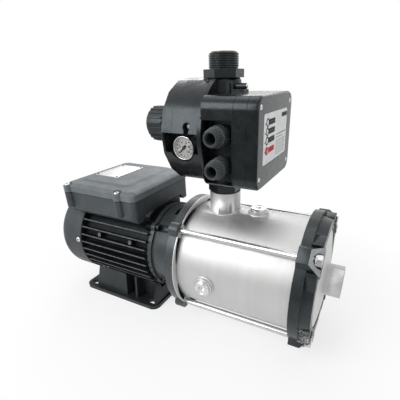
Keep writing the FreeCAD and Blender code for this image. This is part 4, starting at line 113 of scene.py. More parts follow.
def at(x: float, y: float, z: float) -> Vector:
    """Turn a place about the shaft, in millimetres, into the frame's metres."""
    return Vector((x + FACE_X, y, z + SHAFT_Z)) * MM


def outward(angle: float) -> Vector:
    """Direction away from the shaft, an angle in degrees up from the near side."""
    return Vector((0.0, -math.cos(math.radians(angle)), math.sin(math.radians(angle))))


# Shaping


def soften(outline: Outline, radius: float, steps: int = 3, closed: bool = True) -> list[Pair]:
    """Round the corners of an outline.

    Args:
        outline: Corner points.
        radius: Radius of the round, made smaller where a side is short.
        steps: Straight pieces in each round.
        closed: Whether the last point joins the first.

    Returns:
        The outline with short arcs in place of its corners.
    """
    last = len(outline) - 1
    nearly_straight = math.radians(172)
    result: list[Pair] = []
    for k, here in enumerate(outline):
        point = Vector(here)
        before = Vector(outline[k - 1]) - point
        after = Vector(outline[k + 1 if k < last else 0]) - point
        angle = before.angle(after)
        if angle > nearly_straight or not closed and k in (0, last):
            result.append(here)
            continue
        reach = min(radius / math.tan(angle / 2), before.length * 0.48, after.length * 0.48)
        start = point + before.normalized() * reach
        end = point + after.normalized() * reach
        for s in range(steps + 1):
            t = s / steps
            spot = start * (1 - t) ** 2 + point * (2 * t * (1 - t)) + end * t ** 2
            result.append((spot.x, spot.y))
    return result


def ring_outline(radius: float, count: int, first: float = 0.0) -> list[Pair]:
    """Corners of a regular outline about zero."""
    turns = [math.radians(first) + math.tau * k / count for k in range(count)]
    return [(radius * math.cos(turn), radius * math.sin(turn)) for turn in turns]


def round_rect(half_u: float, half_v: float, radius: float, steps: int = 6) -> list[Pair]:
    """A rectangle about zero with true round corners.

    Args:
        half_u: Half length.
        half_v: Half height.
        radius: Radius of the corners.
        steps: Straight pieces in each corner.

    Returns:
        The outline.
    """
    points: list[Pair] = []
    for corner, (u, v) in enumerate(((1, -1), (1, 1), (-1, 1), (-1, -1))):
        for k in range(steps + 1):
            angle = math.radians(90 * (corner - 1) + 90 * k / steps)
            points.append((u * (half_u - radius) + radius * math.cos(angle),
                           v * (half_v - radius) + radius * math.sin(angle)))
    return points


def frame_of(axis: Vector) -> tuple[Vector, Vector]:
    """Two directions square to an axis, chosen the same way each time.

    Args:
        axis: The axis.

    Returns:
        The two directions.
    """
    helper = Way.UP.vector if abs(axis.z) < 0.9 else Way.SUCTION.vector
    side = helper.cross(axis).normalized()
    return side, axis.cross(side).normalized()


def placed(name: str, data: bpy.types.ID) -> Thing:
    """Put new data into the scene as an object at the origin.

    Args:
        name: Name of the object.
        data: Its mesh, light, camera or text.

    Returns:
        The object.
    """
    thing = bpy.data.objects.new(name, data)
    bpy.context.scene.collection.objects.link(thing)
    return thing


def built(name: str, work: bmesh.types.BMesh) -> Thing:
    """Turn a working mesh, which is freed, into an object.

    Args:
        name: Name of the object.
        work: The working mesh.

    Returns:
        The object.
    """
    mesh = bpy.data.meshes.new(name)
    work.to_mesh(mesh)
    work.free()
    return placed(name, mesh)


def sealed(name: str, work: bmesh.types.BMesh) -> Thing:
    """Turn a working mesh into an object, its doubles merged and its faces turned outward.

    Args:
        name: Name of the object.
        work: The working mesh, which is freed.

    Returns:
        The object.
    """
    bmesh.ops.remove_doubles(work, verts=work.verts, dist=1e-6)
    bmesh.ops.recalc_face_normals(work, faces=work.faces)
    return built(name, work)


def lathe(name: str, outline: Outline, base: Vector, axis: Vector, sides: int, corner: float = 0.0,
          steps: int = 3) -> Thing:
    """Turn an outline of (along, radius) points about an axis.

    Args:
        name: Name of the piece.
        outline: Points in millimetres, joined end to start unless they start on the axis.
        base: A place on the axis, in millimetres about the shaft.
        axis: Direction of the axis.
        sides: Sides of the round.
        corner: Radius that softens the outline's corners.
        steps: Straight pieces in each softened corner.

    Returns:
        The turned piece.
    """
    closed = outline[0][1] > 0.0
    points = soften(outline, corner, steps, closed) if corner else outline
    side, other = frame_of(axis)
    turns = [math.tau * k / sides for k in range(sides)]
    work = bmesh.new()
    rings = []
    for along, radius in points:
        centre = base + axis * along
        spokes = turns if radius else turns[:1]
        ring = [centre + (side * math.cos(t) + other * math.sin(t)) * radius for t in spokes]
        rings.append([work.verts.new(at(*spot)) for spot in ring])
    for first, second in zip(rings, rings[1:] + rings[:closed]):
        for k in range(sides):
            after = (k + 1) % sides
            corners = (first[k % len(first)], first[after % len(first)],
                       second[after % len(second)], second[k % len(second)])
            work.faces.new(list(dict.fromkeys(corners)))
    return sealed(name, work)


def prism(name: str, outline: Outline, base: Vector, axes: Sequence[Vector], depth: float) -> Thing:
    """Pull a flat outline out into a solid.

    Args:
        name: Name of the piece.
        outline: Points along the first two axes, in millimetres.
        base: Place of the outline's zero, in millimetres about the shaft.
        axes: Directions of the outline's two coordinates and of the pull.
        depth: Length of the pull.

    Returns:
        The solid piece.
    """
    across, up, out = axes
    work = bmesh.new()
    low, high = [[work.verts.new(at(*(base + across * u + up * v + out * rise))) for u, v in outline]
                 for rise in (0.0, depth)]
    work.faces.new(low)
    work.faces.new(high[::-1])
    for k in range(len(outline)):
        after = (k + 1) % len(outline)
        work.faces.new([low[k], low[after], high[after], high[k]])
    return sealed(name, work)


def cutter(outline: Outline, spot: Vector, axis: Vector, depth: float) -> Thing:
    """A flat outline pulled out along an axis from a spot, to cut with."""
    return prism("cut", outline, spot, (*frame_of(axis), axis), depth)


def baked(piece: Thing) -> Thing:
    """Turn a piece with live modifiers into a plain mesh.

    Args:
        piece: The piece.

    Returns:
        The same piece.
    """
    bpy.context.view_layer.update()
    graph = bpy.context.evaluated_depsgraph_get()
    mesh = bpy.data.meshes.new_from_object(piece.evaluated_get(graph))
    mesh.name = piece.name
    piece.modifiers.clear()
    piece.data = mesh
    return piece


def modified(piece: Thing, kind: str, **settings: object) -> Thing:
    """Put a piece through one modifier, which leaves a plain mesh.

    Args:
        piece: The piece.
        kind: Kind of the modifier.
        settings: The modifier's settings.

    Returns:
        The same piece.
    """
    tool = piece.modifiers.new("shape", kind)
    for name, value in settings.items():
        setattr(tool, name, value)
    return baked(piece)


def rounded(piece: Thing, width: float, angle: float = 32.0) -> Thing:
    """Give a piece's edges sharper than an angle in degrees a small round, its width in millimetres."""
    return modified(piece, "BEVEL", width=width * MM, segments=2, limit_method="ANGLE",
                    angle_limit=math.radians(angle))


def carved(piece: Thing, cutters: Iterable[Thing]) -> Thing:
    """Cut other solids, which are removed, out of a piece.

    Args:
        piece: The piece.
        cutters: The solids to cut with.

    Returns:
        The same piece.
    """
    for tool in cutters:
        modified(piece, "BOOLEAN", operation="DIFFERENCE", solver="EXACT", object=tool)
        bpy.data.objects.remove(tool)
    return piece


def joined(name: str, pieces: Sequence[Thing]) -> Thing:
    """Put several pieces into one mesh, each keeping its own finish.

    Args:
        name: Name of the whole.
        pieces: The pieces, which are removed.

    Returns:
        The whole.
    """
    work = bmesh.new()
    finishes: list[bpy.types.Material] = []
    for piece in pieces:
        before = len(work.faces)
        work.from_mesh(piece.data)
        work.faces.ensure_lookup_table()
        local = list(piece.data.materials)
        for face in work.faces[before:] if local else ():
            finish = local[min(face.material_index, len(local) - 1)]
            if finish not in finishes:
                finishes.append(finish)
            face.material_index = finishes.index(finish)
    whole = built(name, work)
    for finish in finishes:
        whole.data.materials.append(finish)
    for piece in pieces:
        bpy.data.objects.remove(piece)
    return whole


def smooth(piece: Thing, angle: float = 35.0) -> Thing:
    """Shade a piece smooth, apart from edges sharper than an angle in degrees.

    Args:
        piece: The piece.
        angle: The angle.

    Returns:
        The same piece.
    """
    mesh = piece.data
    mesh.polygons.foreach_set("use_smooth", [True] * len(mesh.polygons))
    mesh.set_sharp_from_angle(angle=math.radians(angle))
    mesh.update()
    return piece


def softened_copy(node: Thing, name: str, width: float) -> Thing:
    """A smooth copy of a solid from the frame, its edges rounded and its large faces shaded flat.

    Args:
        node: The solid in the frame.
        name: Name of the new piece.
        width: Width of the rounds in millimetres, 0 for none.

    Returns:
        The new piece.
    """
    work = bmesh.new()
    work.from_mesh(node.data)
    bmesh.ops.remove_doubles(work, verts=work.verts, dist=2e-6)
    bmesh.ops.dissolve_limit(work, angle_limit=math.radians(1.0), verts=work.verts, edges=work.edges)
    piece = built(name, work)
    if width > 0:
        rounded(piece, width, 40.0)
    return modified(smooth(piece), "WEIGHTED_NORMAL", mode="FACE_AREA", weight=60, keep_sharp=True)


# Finishes

COOL: Triple = (0.84, 0.95, 1.0)
BARE: Triple = (0.33, 0.33, 0.33)
FULL: Pair = (0.0, 1.0)
CLOUD: Pair = (0.3, 0.7)


class NodeTree:
    """A tree of nodes that is being put together."""

    def __init__(self, tree: bpy.types.NodeTree) -> None:
        """Take up an existing tree."""
        self.tree = tree

    def feed(self, socket: Socket, value: object) -> None:
        """Link or write a value to a socket, whichever it is.

        Args:
            socket: Socket that takes the value.
            value: A value, or the socket that gives it.
        """
        if isinstance(value, Socket):
            self.tree.links.new(value, socket)
        else:
            socket.default_value = value

    def add(self, kind: str, inputs: dict[object, object] | None = None,
            **settings: object) -> bpy.types.Node:
        """Add a node.

        Args:
            kind: Kind of the node.
            inputs: Sockets or values by input name or number.
            settings: The node's own settings.

        Returns:
            The node.
        """
        node = self.tree.nodes.new(kind)
        for name, value in settings.items():
            setattr(node, name, value)
        for key, value in (inputs or {}).items():
            self.feed(node.inputs[key], value)
        return node

    def sums(self, operation: str, first: object, second: object = 0.0) -> Socket:
        """Arithmetic on one or two values."""
        return self.add("ShaderNodeMath", {0: first, 1: second}, operation=operation).outputs[0]

    def span(self, value: Socket, old: Pair, new: Pair = FULL, **settings: object) -> Socket:
        """A value stretched from one range to another and held inside it."""
        ends = dict(zip(("From Min", "From Max", "To Min", "To Max"), (*old, *new)))
        return self.add("ShaderNodeMapRange", {"Value": value, **ends}, **settings).outputs[0]

    def rays(self, *kinds: str) -> Socket:
        """A value that is 1 for rays of any of some kinds.

        Args:
            kinds: Names of the kinds.

        Returns:
            The value.
        """
        path = self.add("ShaderNodeLightPath")
        total = path.outputs[kinds[0]]
        for kind in kinds[1:]:
            total = self.sums("MAXIMUM", total, path.outputs[kind])
        return total


class Paintbox(NodeTree):
    """A material that is being put together."""

    def __init__(self, name: str) -> None:
        """Start a material of that name with one shader.

        Args:
            name: Name of the material.
        """
        self.material = bpy.data.materials.new(name)
        self.material.use_nodes = True
        super().__init__(self.material.node_tree)
        self.tree.nodes.clear()
        self.shader = self.add("ShaderNodeBsdfPrincipled")
        self.output = self.add("ShaderNodeOutputMaterial", {"Surface": self.shader.outputs[0]})
        self.place = self.add("ShaderNodeTexCoord").outputs["Object"]

    def set(self, **values: object) -> None:
        """Link or write the shader's own sockets, underscores standing for spaces.

        Args:
            values: Values or sockets by the shader's names.
        """
        for name, value in values.items():
            socket = self.shader.inputs[name.replace("_", " ")]
            self.feed(socket, (*value, 1.0) if isinstance(value, tuple) else value)

    def stretched(self, scale: Triple, centre: Sequence[float] = (0.0, 0.0, 0.0)) -> Socket:
        """The piece's coordinates about a centre in metres, stretched along each axis."""
        inputs = {"Vector": self.place, "Scale": scale, "Location": [-c * s for c, s in zip(centre, scale)]}
        return self.add("ShaderNodeMapping", inputs).outputs[0]

    def shaft_distance(self) -> Socket:
        """Distance of each place from the shaft, in metres.

        Returns:
            The distance.
        """
        place = self.stretched((1.0, 1.0, 1.0), at(0.0, 0.0, 0.0))
        flat = self.add("ShaderNodeVectorMath", {0: place, 1: (0.0, 1.0, 1.0)}, operation="MULTIPLY")
        return self.add("ShaderNodeVectorMath", {0: flat.outputs[0]}, operation="LENGTH").outputs["Value"]

    def noise(self, scale: float, detail: float = 3.0, rough: float = 0.5,
              where: Socket | None = None) -> Socket:
        """Cloudy values from 0 to 1, with features about 1/scale metres wide."""
        inputs = {"Vector": where or self.place, "Scale": scale, "Detail": detail, "Roughness": rough}
        return self.add("ShaderNodeTexNoise", inputs).outputs["Fac"]

    def cloud(self, scale: float, detail: float = 3.0, rough: float = 0.5, old: Pair = CLOUD,
              new: Pair = FULL) -> Socket:
        """Cloudy values stretched from one range to another."""
        return self.span(self.noise(scale, detail, rough), old, new)

    def cells(self, scale: float, old: Pair, new: Pair = FULL) -> Socket:
        """Distance to scattered points, about 1/scale metres apart, stretched to a range."""
        points = self.add("ShaderNodeTexVoronoi", {"Vector": self.place, "Scale": scale})
        return self.span(points.outputs["Distance"], old, new)

    def mixed(self, share: object, first: object, second: object) -> Socket:
        """A colour between two others, each a colour or a socket."""
        ends = [(*colour, 1.0) if isinstance(colour, tuple) else colour for colour in (first, second)]
        return self.add("ShaderNodeMix", {0: share, 6: ends[0], 7: ends[1]}, data_type="RGBA").outputs[2]

    def soft_edge(self, radius: float) -> Socket:
        """Surface direction with sharp edges rounded off, radius in millimetres."""
        return self.add("ShaderNodeBevel", {"Radius": radius * MM}, samples=4).outputs[0]

    def rim(self, radius: float) -> Socket:
        """A mask that is 1 along sharp edges, within a radius in millimetres.

        Args:
            radius: The radius.

        Returns:
            The mask.
        """
        flat = self.add("ShaderNodeNewGeometry").outputs["Normal"]
        inputs = {0: self.soft_edge(radius), 1: flat}
        match = self.add("ShaderNodeVectorMath", inputs, operation="DOT_PRODUCT").outputs["Value"]
        return self.span(match, (0.88, 0.98), (1.0, 0.0))

    def relief(self, height: Socket, depth: float, strength: float, under: Socket | None = None) -> Socket:
        """Surface direction with raised detail.

        Args:
            height: Values from 0 to 1.
            depth: Depth of the detail in millimetres.
            strength: Share of the effect.
            under: Surface direction that the detail lies on.

        Returns:
            The new surface direction.
        """
        inputs = {"Strength": strength, "Distance": depth * MM, "Height": height}
        if under is not None:
            inputs["Normal"] = under
        return self.add("ShaderNodeBump", inputs).outputs[0]


@dataclass(frozen=True)
class Surface:
    """What every finish has: its name, its main colour and its middle roughness."""

    name: str
    colour: Triple
    roughness: float

    def shade(self, factor: float, more: float = 0.0) -> Triple:
        """The main colour made lighter or darker."""
        return tuple(min(1.0, c * factor + more) for c in self.colour)

    def drift(self, box: Paintbox, less: float, more: float, *clouds: float) -> Socket:
        """Roughness that drifts about its middle in clouds of some scale, detail and roughness."""
        return box.span(box.noise(*clouds), CLOUD, (self.roughness - less, self.roughness + more))

    def paint(self, box: Paintbox) -> None:
        """Put the finish together in a material."""
        raise NotImplementedError

    def material(self) -> bpy.types.Material:
        """The finish as a material, built once.

        Returns:
            The material.
        """
        label = self.name + "_finish"
        found = bpy.data.materials.get(label)
        if found is None:
            box = Paintbox(label)
            self.paint(box)
            found = box.material
        return found


@dataclass(frozen=True)
class Moulding(Surface):
    """Plastic with a fine grain, a little lighter along its edges.

    Attributes:
        grain: Depth of the grain in millimetres.
        edge: Radius over which the edges look rounded, in millimetres.
        wear: How much lighter the edges are.
    """

    grain: float = 0.012
    edge: float = 0.5
    wear: float = 0.35

    def paint(self, box: Paintbox) -> None:
        """Put the finish together in a material.

        Args:
            box: The material.
        """
        dust = box.cloud(38.0, 5.0, 0.6, (0.35, 0.68))
        body = box.mixed(dust, self.shade(0.84), self.shade(1.22, 0.006))
        patches = box.cloud(210.0, 4.0, 0.5, (0.35, 0.65), (0.15, 1.0))
        scuffs = box.sums("MULTIPLY", box.rim(self.edge), patches)
        worn = box.mixed(box.sums("MULTIPLY", scuffs, self.wear), body, self.shade(1.9, 0.035))
        grain = box.relief(box.noise(1900.0, 2.0, 0.6), self.grain, 0.35, box.soft_edge(self.edge))
        box.set(Base_Color=worn, Specular_IOR_Level=0.4, Specular_Tint=COOL, Normal=grain,
                Roughness=self.drift(box, 0.06, 0.08, 120.0, 4.0, 0.6))


@dataclass(frozen=True)
class PaintedCasting(Surface):
    """Paint on a casting, with orange peel and thin bright wear on its edges.

    Attributes:
        peel: Depth of the orange peel in millimetres.
        pebble: Depth of the casting's pebbles under the paint in millimetres.
        wear: Share of the edges where metal shows.
    """

    peel: float = 0.012
    pebble: float = 0.04
    wear: float = 0.25

    def paint(self, box: Paintbox) -> None:
        """Put the finish together in a material."""
        box.set(Base_Color=self.layers(box))

    def layers(self, box: Paintbox) -> Socket:
        """Put all of the paint into a material but its colour, which is returned.

        Args:
            box: The material.

        Returns:
            The paint's colour.
        """
        body = box.mixed(box.cloud(30.0, 5.0, 0.6, (0.35, 0.65)), self.shade(0.8), self.shade(1.25, 0.004))
        chips = box.sums("MULTIPLY", box.rim(0.55), box.cloud(340.0, 5.0, 0.7, (0.42, 0.6)))
        cast = box.relief(box.noise(260.0, 3.0, 0.55), self.pebble, 0.45, box.soft_edge(0.6))
        peel = box.relief(box.noise(900.0, 2.0), self.peel, 0.4, cast)
        box.set(Specular_IOR_Level=0.4, Specular_Tint=COOL, Normal=peel,
                Roughness=self.drift(box, 0.07, 0.1, 90.0, 4.0))
        return box.mixed(box.sums("MULTIPLY", chips, self.wear), body, BARE)


@dataclass(frozen=True)
class FinnedCasting(PaintedCasting):
    """Painted casting whose fin tips are painted paler, a painted highlight where the tips catch the light.

    Attributes:
        tip_radius: Distance from the shaft at which the tips start, in millimetres.
        tip_highlight_colour: Colour of the tips.
    """

    tip_radius: float = 70.0
    tip_highlight_colour: Triple = BARE

    def paint(self, box: Paintbox) -> None:
        """Put the finish together in a material.

        Args:
            box: The material.
        """
        body = self.layers(box)
        tips = box.span(box.shaft_distance(), ((self.tip_radius - 0.4) * MM, self.tip_radius * MM))
        # painted highlight: the fin tips are coloured paler in patches, where they catch the light
        tip_highlight = box.sums("MULTIPLY", tips, box.cloud(160.0, 4.0, 0.5, (0.3, 0.6), (0.55, 1.0)))
        box.set(Base_Color=box.mixed(tip_highlight, body, self.tip_highlight_colour), Specular_IOR_Level=0.14)


@dataclass(frozen=True)
class RoughCasting(Surface):
    """Bare rough casting whose grains are coloured pale, painted glints that stand in for light caught by
    the grains.

    Attributes:
        grain: Pale colour of the grains, a painted glint.
        depth: Height of the grains in millimetres.
    """

    grain: Triple
    depth: float = 0.12

    def paint(self, box: Paintbox) -> None:
        """Put the finish together in a material.

        Args:
            box: The material.
        """
        grains = box.cloud(620.0, 3.0, 0.7, (0.5, 0.62))
        patches = box.cloud(120.0, 3.0, 0.5, (0.35, 0.6), (0.25, 1.0))
        # painted glints: the grains are coloured pale in patches, in place of light caught on the rough
        # cast
        box.set(Base_Color=box.mixed(box.sums("MULTIPLY", grains, patches), self.colour, self.grain),
                Roughness=box.span(patches, FULL, (self.roughness + 0.15, self.roughness)), Metallic=0.3,
                Normal=box.relief(grains, self.depth, 0.5, box.soft_edge(0.5)))


@dataclass(frozen=True)
class BrushedSteel(Surface):
    """Metal brushed along one direction.

    Attributes:
        lines: Stretch of the brushing along each axis, large across the lines.
        depth: Depth of the lines in millimetres.
    """

    lines: Triple = (900.0, 9.0, 9.0)
    depth: float = 0.006

    def paint(self, box: Paintbox) -> None:
        """Put the finish together in a material.

        Args:
            box: The material.
        """
        fine = box.noise(1.0, 3.0, 0.65, box.stretched(self.lines))
        broad = box.noise(1.0, 2.0, 0.5, box.stretched(tuple(v / 9 for v in self.lines)))
        stain = box.cloud(26.0, 5.0, 0.65, (0.35, 0.7))
        body = box.mixed(box.span(broad, CLOUD), self.shade(0.94), self.colour)
        streak = box.span(fine, CLOUD, (self.roughness - 0.04, self.roughness + 0.05))
        stained = box.mixed(box.sums("MULTIPLY", stain, 0.12), body, (0.5, 0.49, 0.47))
        box.set(Base_Color=stained, Metallic=1.0,
                Roughness=box.sums("ADD", streak, box.sums("MULTIPLY", stain, 0.06)),
                Normal=box.relief(fine, self.depth, 0.5, box.soft_edge(0.4)))


@dataclass(frozen=True)
class PlatedSteel(Surface):
    """Plated or polished metal with faint clouding and marks of some depth in millimetres."""

    marks: float = 0.006

    def paint(self, box: Paintbox) -> None:
        """Put the finish together in a material.

        Args:
            box: The material.
        """
        box.set(Base_Color=box.mixed(box.cloud(60.0, 4.0), self.colour, self.shade(0.9)), Metallic=1.0,
                Roughness=self.drift(box, 0.04, 0.07, 420.0, 4.0),
                Normal=box.relief(box.noise(1300.0, 3.0, 0.7), self.marks, 0.4, box.soft_edge(0.35)))


@dataclass(frozen=True)
class Banded(Surface):
    """Fine bands, as on stacked sheets or wound wire.

    Attributes:
        second: Colour between the bands.
        pitch: Distance of the bands in millimetres.
        metallic: Share of metal.
        wound: Whether the bands run and wander as wound wire does.
    """

    second: Triple
    pitch: float
    metallic: float
    wound: bool

    def paint(self, box: Paintbox) -> None:
        """Put the finish together in a material.

        Args:
            box: The material.
        """
        wave = box.add("ShaderNodeTexWave",
                       {"Vector": box.place, "Scale": 1.0 / (self.pitch * MM) / 3.2,
                        "Distortion": 1.2 if self.wound else 0.2, "Detail": 2.0},
                       bands_direction="DIAGONAL" if self.wound else "X").outputs["Fac"]
        box.set(Base_Color=box.mixed(box.span(wave, (0.1, 0.6)), self.second, self.colour),
                Metallic=self.metallic, Roughness=self.drift(box, 0.08, 0.1, 200.0),
                Normal=box.relief(wave, 0.15, 0.6))


@dataclass(frozen=True)
class Rubber(Surface):
    """Matt rubber with a soft bloom."""

    def paint(self, box: Paintbox) -> None:
        """Put the finish together in a material.

        Args:
            box: The material.
        """
        bloom = box.cloud(60.0, 5.0, 0.65, (0.4, 0.75), (0.0, 0.5))
        box.set(Base_Color=box.mixed(bloom, self.colour, (0.06, 0.06, 0.062)),
                Roughness=self.drift(box, 0.08, 0.1, 300.0),
                Normal=box.relief(box.noise(1500.0, 2.0), 0.04, 0.4, box.soft_edge(0.4)))


@dataclass(frozen=True)
class Clear(Surface):
    """Clear window plastic or glass with faint waviness."""

    def paint(self, box: Paintbox) -> None:
        """Put the finish together in a material.

        Args:
            box: The material.
        """
        haze = box.cloud(180.0, 4.0, 0.5, (0.4, 0.8), (0.0, 0.12))
        rough = box.cloud(500.0, 3.0, 0.5, (0.4, 0.8), (self.roughness, self.roughness + 0.05))
        box.set(Base_Color=box.mixed(haze, self.colour, (0.85, 0.86, 0.86)), Roughness=rough,
                Transmission_Weight=1.0, IOR=1.45, Normal=box.relief(box.noise(240.0, 1.0), 0.01, 0.2))


@dataclass(frozen=True)
class Printed(Surface):
    """Ink, paper or foil: an even colour with the slight tooth of a printed face."""

    def paint(self, box: Paintbox) -> None:
        """Put the finish together in a material.

        Args:
            box: The material.
        """
        cloud = box.cloud(90.0, 5.0, 0.5, (0.4, 0.7))
        box.set(Base_Color=box.mixed(cloud, self.colour, self.shade(0.9)), Specular_IOR_Level=0.12,
                Roughness=self.drift(box, 0.05, 0.08, 800.0),
                Normal=box.relief(box.noise(2400.0, 2.0), 0.01, 0.3))


@dataclass(frozen=True)
class Board(Surface):
    """Green circuit board with paler tracks and bright pads."""

    def paint(self, box: Paintbox) -> None:
        """Put the finish together in a material.

        Args:
            box: The material.
        """
        tracks = box.cells(160.0, (0.28, 0.34))
        pads = box.cells(420.0, (0.10, 0.13), (1.0, 0.0))
        green = box.mixed(tracks, self.colour, (0.03, 0.2, 0.07))
        box.set(Base_Color=box.mixed(pads, green, (0.6, 0.58, 0.5)),
                Roughness=box.span(tracks, FULL, (self.roughness, self.roughness + 0.15)),
                Normal=box.relief(pads, 0.08, 0.5, box.soft_edge(0.3)))


class Finish(Enum):
    """Every finish of the pump."""

    FAN_COVER = PaintedCasting("fan_cover", (0.038, 0.042, 0.045), 0.46, 0.008, 0.008, 0.08)
    SHIELD = PaintedCasting("motor_shield", (0.005, 0.0058, 0.0062), 0.4, 0.012, 0.03, 0.3)
    # the last colour is the fin tips' painted highlight
    MOTOR = FinnedCasting("motor_frame", (0.005, 0.0058, 0.0062), 0.4, 0.012, 0.03, 0.3, 69.95,
                          (0.13, 0.14, 0.147))
    BRACKET = PaintedCasting("bracket_cast", (0.044, 0.050, 0.052), 0.3, 0.012, 0.03, 0.3)
    MACHINED = BrushedSteel("machined_ring", (0.66, 0.66, 0.655), 0.42, (9.0, 300.0, 300.0), 0.004)
    BLACK_SCREW = PlatedSteel("black_screw", (0.06, 0.06, 0.062), 0.34)
    FLANGE = PaintedCasting("flange_cast", (0.016, 0.0185, 0.0195), 0.3, 0.012, 0.04, 0.35)
    # bare cast of the lugs' slopes and facings, made paler than it is as a painted highlight
    FACING = PaintedCasting("rubbed_cast", (0.33, 0.335, 0.34), 0.3, 0.05, 0.16, 0.9)
    # its pale grain colour is painted glints
    ROUGH = RoughCasting("rough_cast", (0.05, 0.053, 0.055), 0.4, (0.85, 0.86, 0.87))
    FOOT = Moulding("foot", (0.012, 0.0138, 0.0147), 0.4, 0.012, 0.6, 0.3)
    BOX = Moulding("box_moulding", (0.046, 0.052, 0.056), 0.42, 0.015, 0.6, 0.25)
    BOX_LID = Moulding("box_lid_moulding", (0.125, 0.138, 0.147), 0.44, 0.015, 0.6, 0.2)
    RUBBER = Rubber("rubber", (0.018, 0.018, 0.019), 0.7)
    STAINLESS = BrushedSteel("stainless", (0.63, 0.63, 0.63), 0.5)
    PLUG = PlatedSteel("plug_steel", (0.74, 0.74, 0.73), 0.2)
    BOLT = PlatedSteel("bolt_steel", (0.62, 0.63, 0.64), 0.3)
    SCREW = PlatedSteel("screw_steel", (0.70, 0.70, 0.70), 0.26)
    BEARING = PlatedSteel("bearing_steel", (0.78, 0.78, 0.78), 0.12, 0.005)
    LAMINATION = Banded("lamination", (0.30, 0.30, 0.31), 0.45, (0.12, 0.12, 0.12), 0.65, 1.0, False)
    COPPER = Banded("copper", (0.62, 0.26, 0.12), 0.34, (0.25, 0.09, 0.04), 1.1, 0.85, True)
    FAN = Moulding("fan_plastic", (0.022, 0.022, 0.023), 0.5)
    INNER = Moulding("inner_plastic", (0.42, 0.42, 0.40), 0.45)
    CAPACITOR = Moulding("capacitor_can", (0.60, 0.585, 0.52), 0.4, 0.01)
    CERAMIC = Moulding("seal_face", (0.12, 0.115, 0.11), 0.25, 0.005)
    CONTROLLER = Moulding("controller_moulding", (0.007, 0.0084, 0.0092), 0.25, 0.01, 0.6, 0.2)
    CAP = Moulding("spring_cap_moulding", (0.019, 0.0215, 0.023), 0.36, 0.01, 0.5, 0.25)
    BRASS = BrushedSteel("outlet_brass", (0.40, 0.36, 0.17), 0.34, (60.0, 60.0, 900.0))
    BOARD = Board("board", (0.015, 0.11, 0.04), 0.3)
    LENS = Clear("lens", (0.92, 0.92, 0.94), 0.08)
    BUTTON = Moulding("button", (0.42, 0.02, 0.015), 0.3, 0.005, 0.4, 0.2)
    GLAND = Moulding("gland_plastic", (0.040, 0.045, 0.048), 0.36, 0.01, 0.5, 0.3)
    GRIP = Moulding("gland_grip", (0.17, 0.183, 0.192), 0.36, 0.01, 0.5, 0.3)
    GAUGE = PlatedSteel("gauge_case", (0.76, 0.76, 0.75), 0.16, 0.004)
    POINTER = Printed("pointer", (0.012, 0.012, 0.012), 0.35)
    GLASS = Clear("gauge_window", (0.97, 0.98, 0.98), 0.03)
    DIAL = Printed("dial_face", (0.78, 0.78, 0.77), 0.5)
    INK = Printed("black_ink", (0.006, 0.006, 0.006), 0.5)
    RED = Printed("red_ink", (0.55, 0.012, 0.012), 0.55)
    LABEL = Printed("label_face", (0.84, 0.845, 0.85), 0.55)
    GREY = Printed("grey_ink", (0.10, 0.10, 0.105), 0.55)
    PALE = Printed("pale_ink", (0.55, 0.55, 0.54), 0.45)
    PLATE = PlatedSteel("nameplate", (0.80, 0.80, 0.79), 0.36)

    @property
    def material(self) -> bpy.types.Material:
        """The finish as a material."""
        return self.value.material()


NODE_FINISHES: dict[Finish, str] = {
    Finish.FAN_COVER: "fan_cover",
    Finish.MOTOR: "motor_housing",
    Finish.SHIELD: "rear_end_shield",
    Finish.BRACKET: "pump_bracket",
    Finish.FLANGE: "front_clamp_flange",
    Finish.FOOT: "motor_foot",
    Finish.BOX: "terminal_box terminal_block",
    Finish.BOX_LID: "terminal_box_lid",
    Finish.RUBBER: "terminal_box_gasket casing_o_rings diaphragm",
    Finish.STAINLESS: "pump_casing casing_cover impellers impeller_spacers shaft_nut stage_chambers"
                      " discharge_spacer shaft",
    Finish.PLUG: "fill_plug drain_plug",
    Finish.BOLT: "tie_bolts tie_bolt_washers",
    Finish.BLACK_SCREW: "bracket_screws",
    Finish.SCREW: "fan_cover_screws foot_screws terminal_box_lid_screws controller_screws"
                  " rear_cover_screws pressure_spring adjusting_screw",
    Finish.BEARING: "bearing_outer_rings bearing_inner_rings bearing_balls",
    Finish.LAMINATION: "stator_core rotor_core",
    Finish.COPPER: "stator_windings",
    Finish.FAN: "cooling_fan",
    Finish.INNER: "pressure_plate flow_valve",
    Finish.CAPACITOR: "capacitor",
    Finish.CERAMIC: "seal_seat seal_head",
    Finish.CONTROLLER: "controller_body outlet_fitting electronics_housing controller_lid rear_cover",
    Finish.CAP: "spring_cap",
    Finish.BRASS: "outlet_insert",
    Finish.BOARD: "circuit_board",
    Finish.LENS: "indicator_lenses",
    Finish.BUTTON: "restart_button",
    Finish.GLAND: "gland_bodies gland_nuts terminal_box_gland",
    Finish.GAUGE: "gauge_case",
    Finish.POINTER: "gauge_pointer",
    Finish.GLASS: "gauge_glass",
}


def dress(piece: Thing, finish: Finish) -> Thing:
    """Give a piece one finish all over.

    Args:
        piece: The piece.
        finish: The finish.

    Returns:
        The same piece.
    """
    piece.data.materials.clear()
    piece.data.materials.append(finish.material)
    return piece


def paint_nodes(nodes: dict[str, Thing]) -> None:
    """Give every solid of the frame, all listed by name, its finish.

    Args:
        nodes: The solids by name.
    """
    for finish, names in NODE_FINISHES.items():
        for name in names.split():
            dress(nodes[name], finish)
    bare = sorted(set(nodes) - set(" ".join(NODE_FINISHES.values()).split()))
    if bare:
        LOG.warning("solids without a finish: %s", bare)


def settle(piece: Thing, *nodes: str, rider: Rider = Rider.PUMP) -> Thing:
    """Let a finished piece ride on its body and stand for nodes of the frame.

    Args:
        piece: The piece, in place.
        nodes: Solids of the frame that it stands for.
        rider: Body it rides on.

    Returns:
        The same piece.
    """
    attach(piece, rider.value)
    if nodes:
        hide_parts(*nodes)
    LOG.info("%s: %d faces on %s", piece.name, len(piece.data.polygons), rider.value)
    return piece


# Repeats, made by geometry nodes


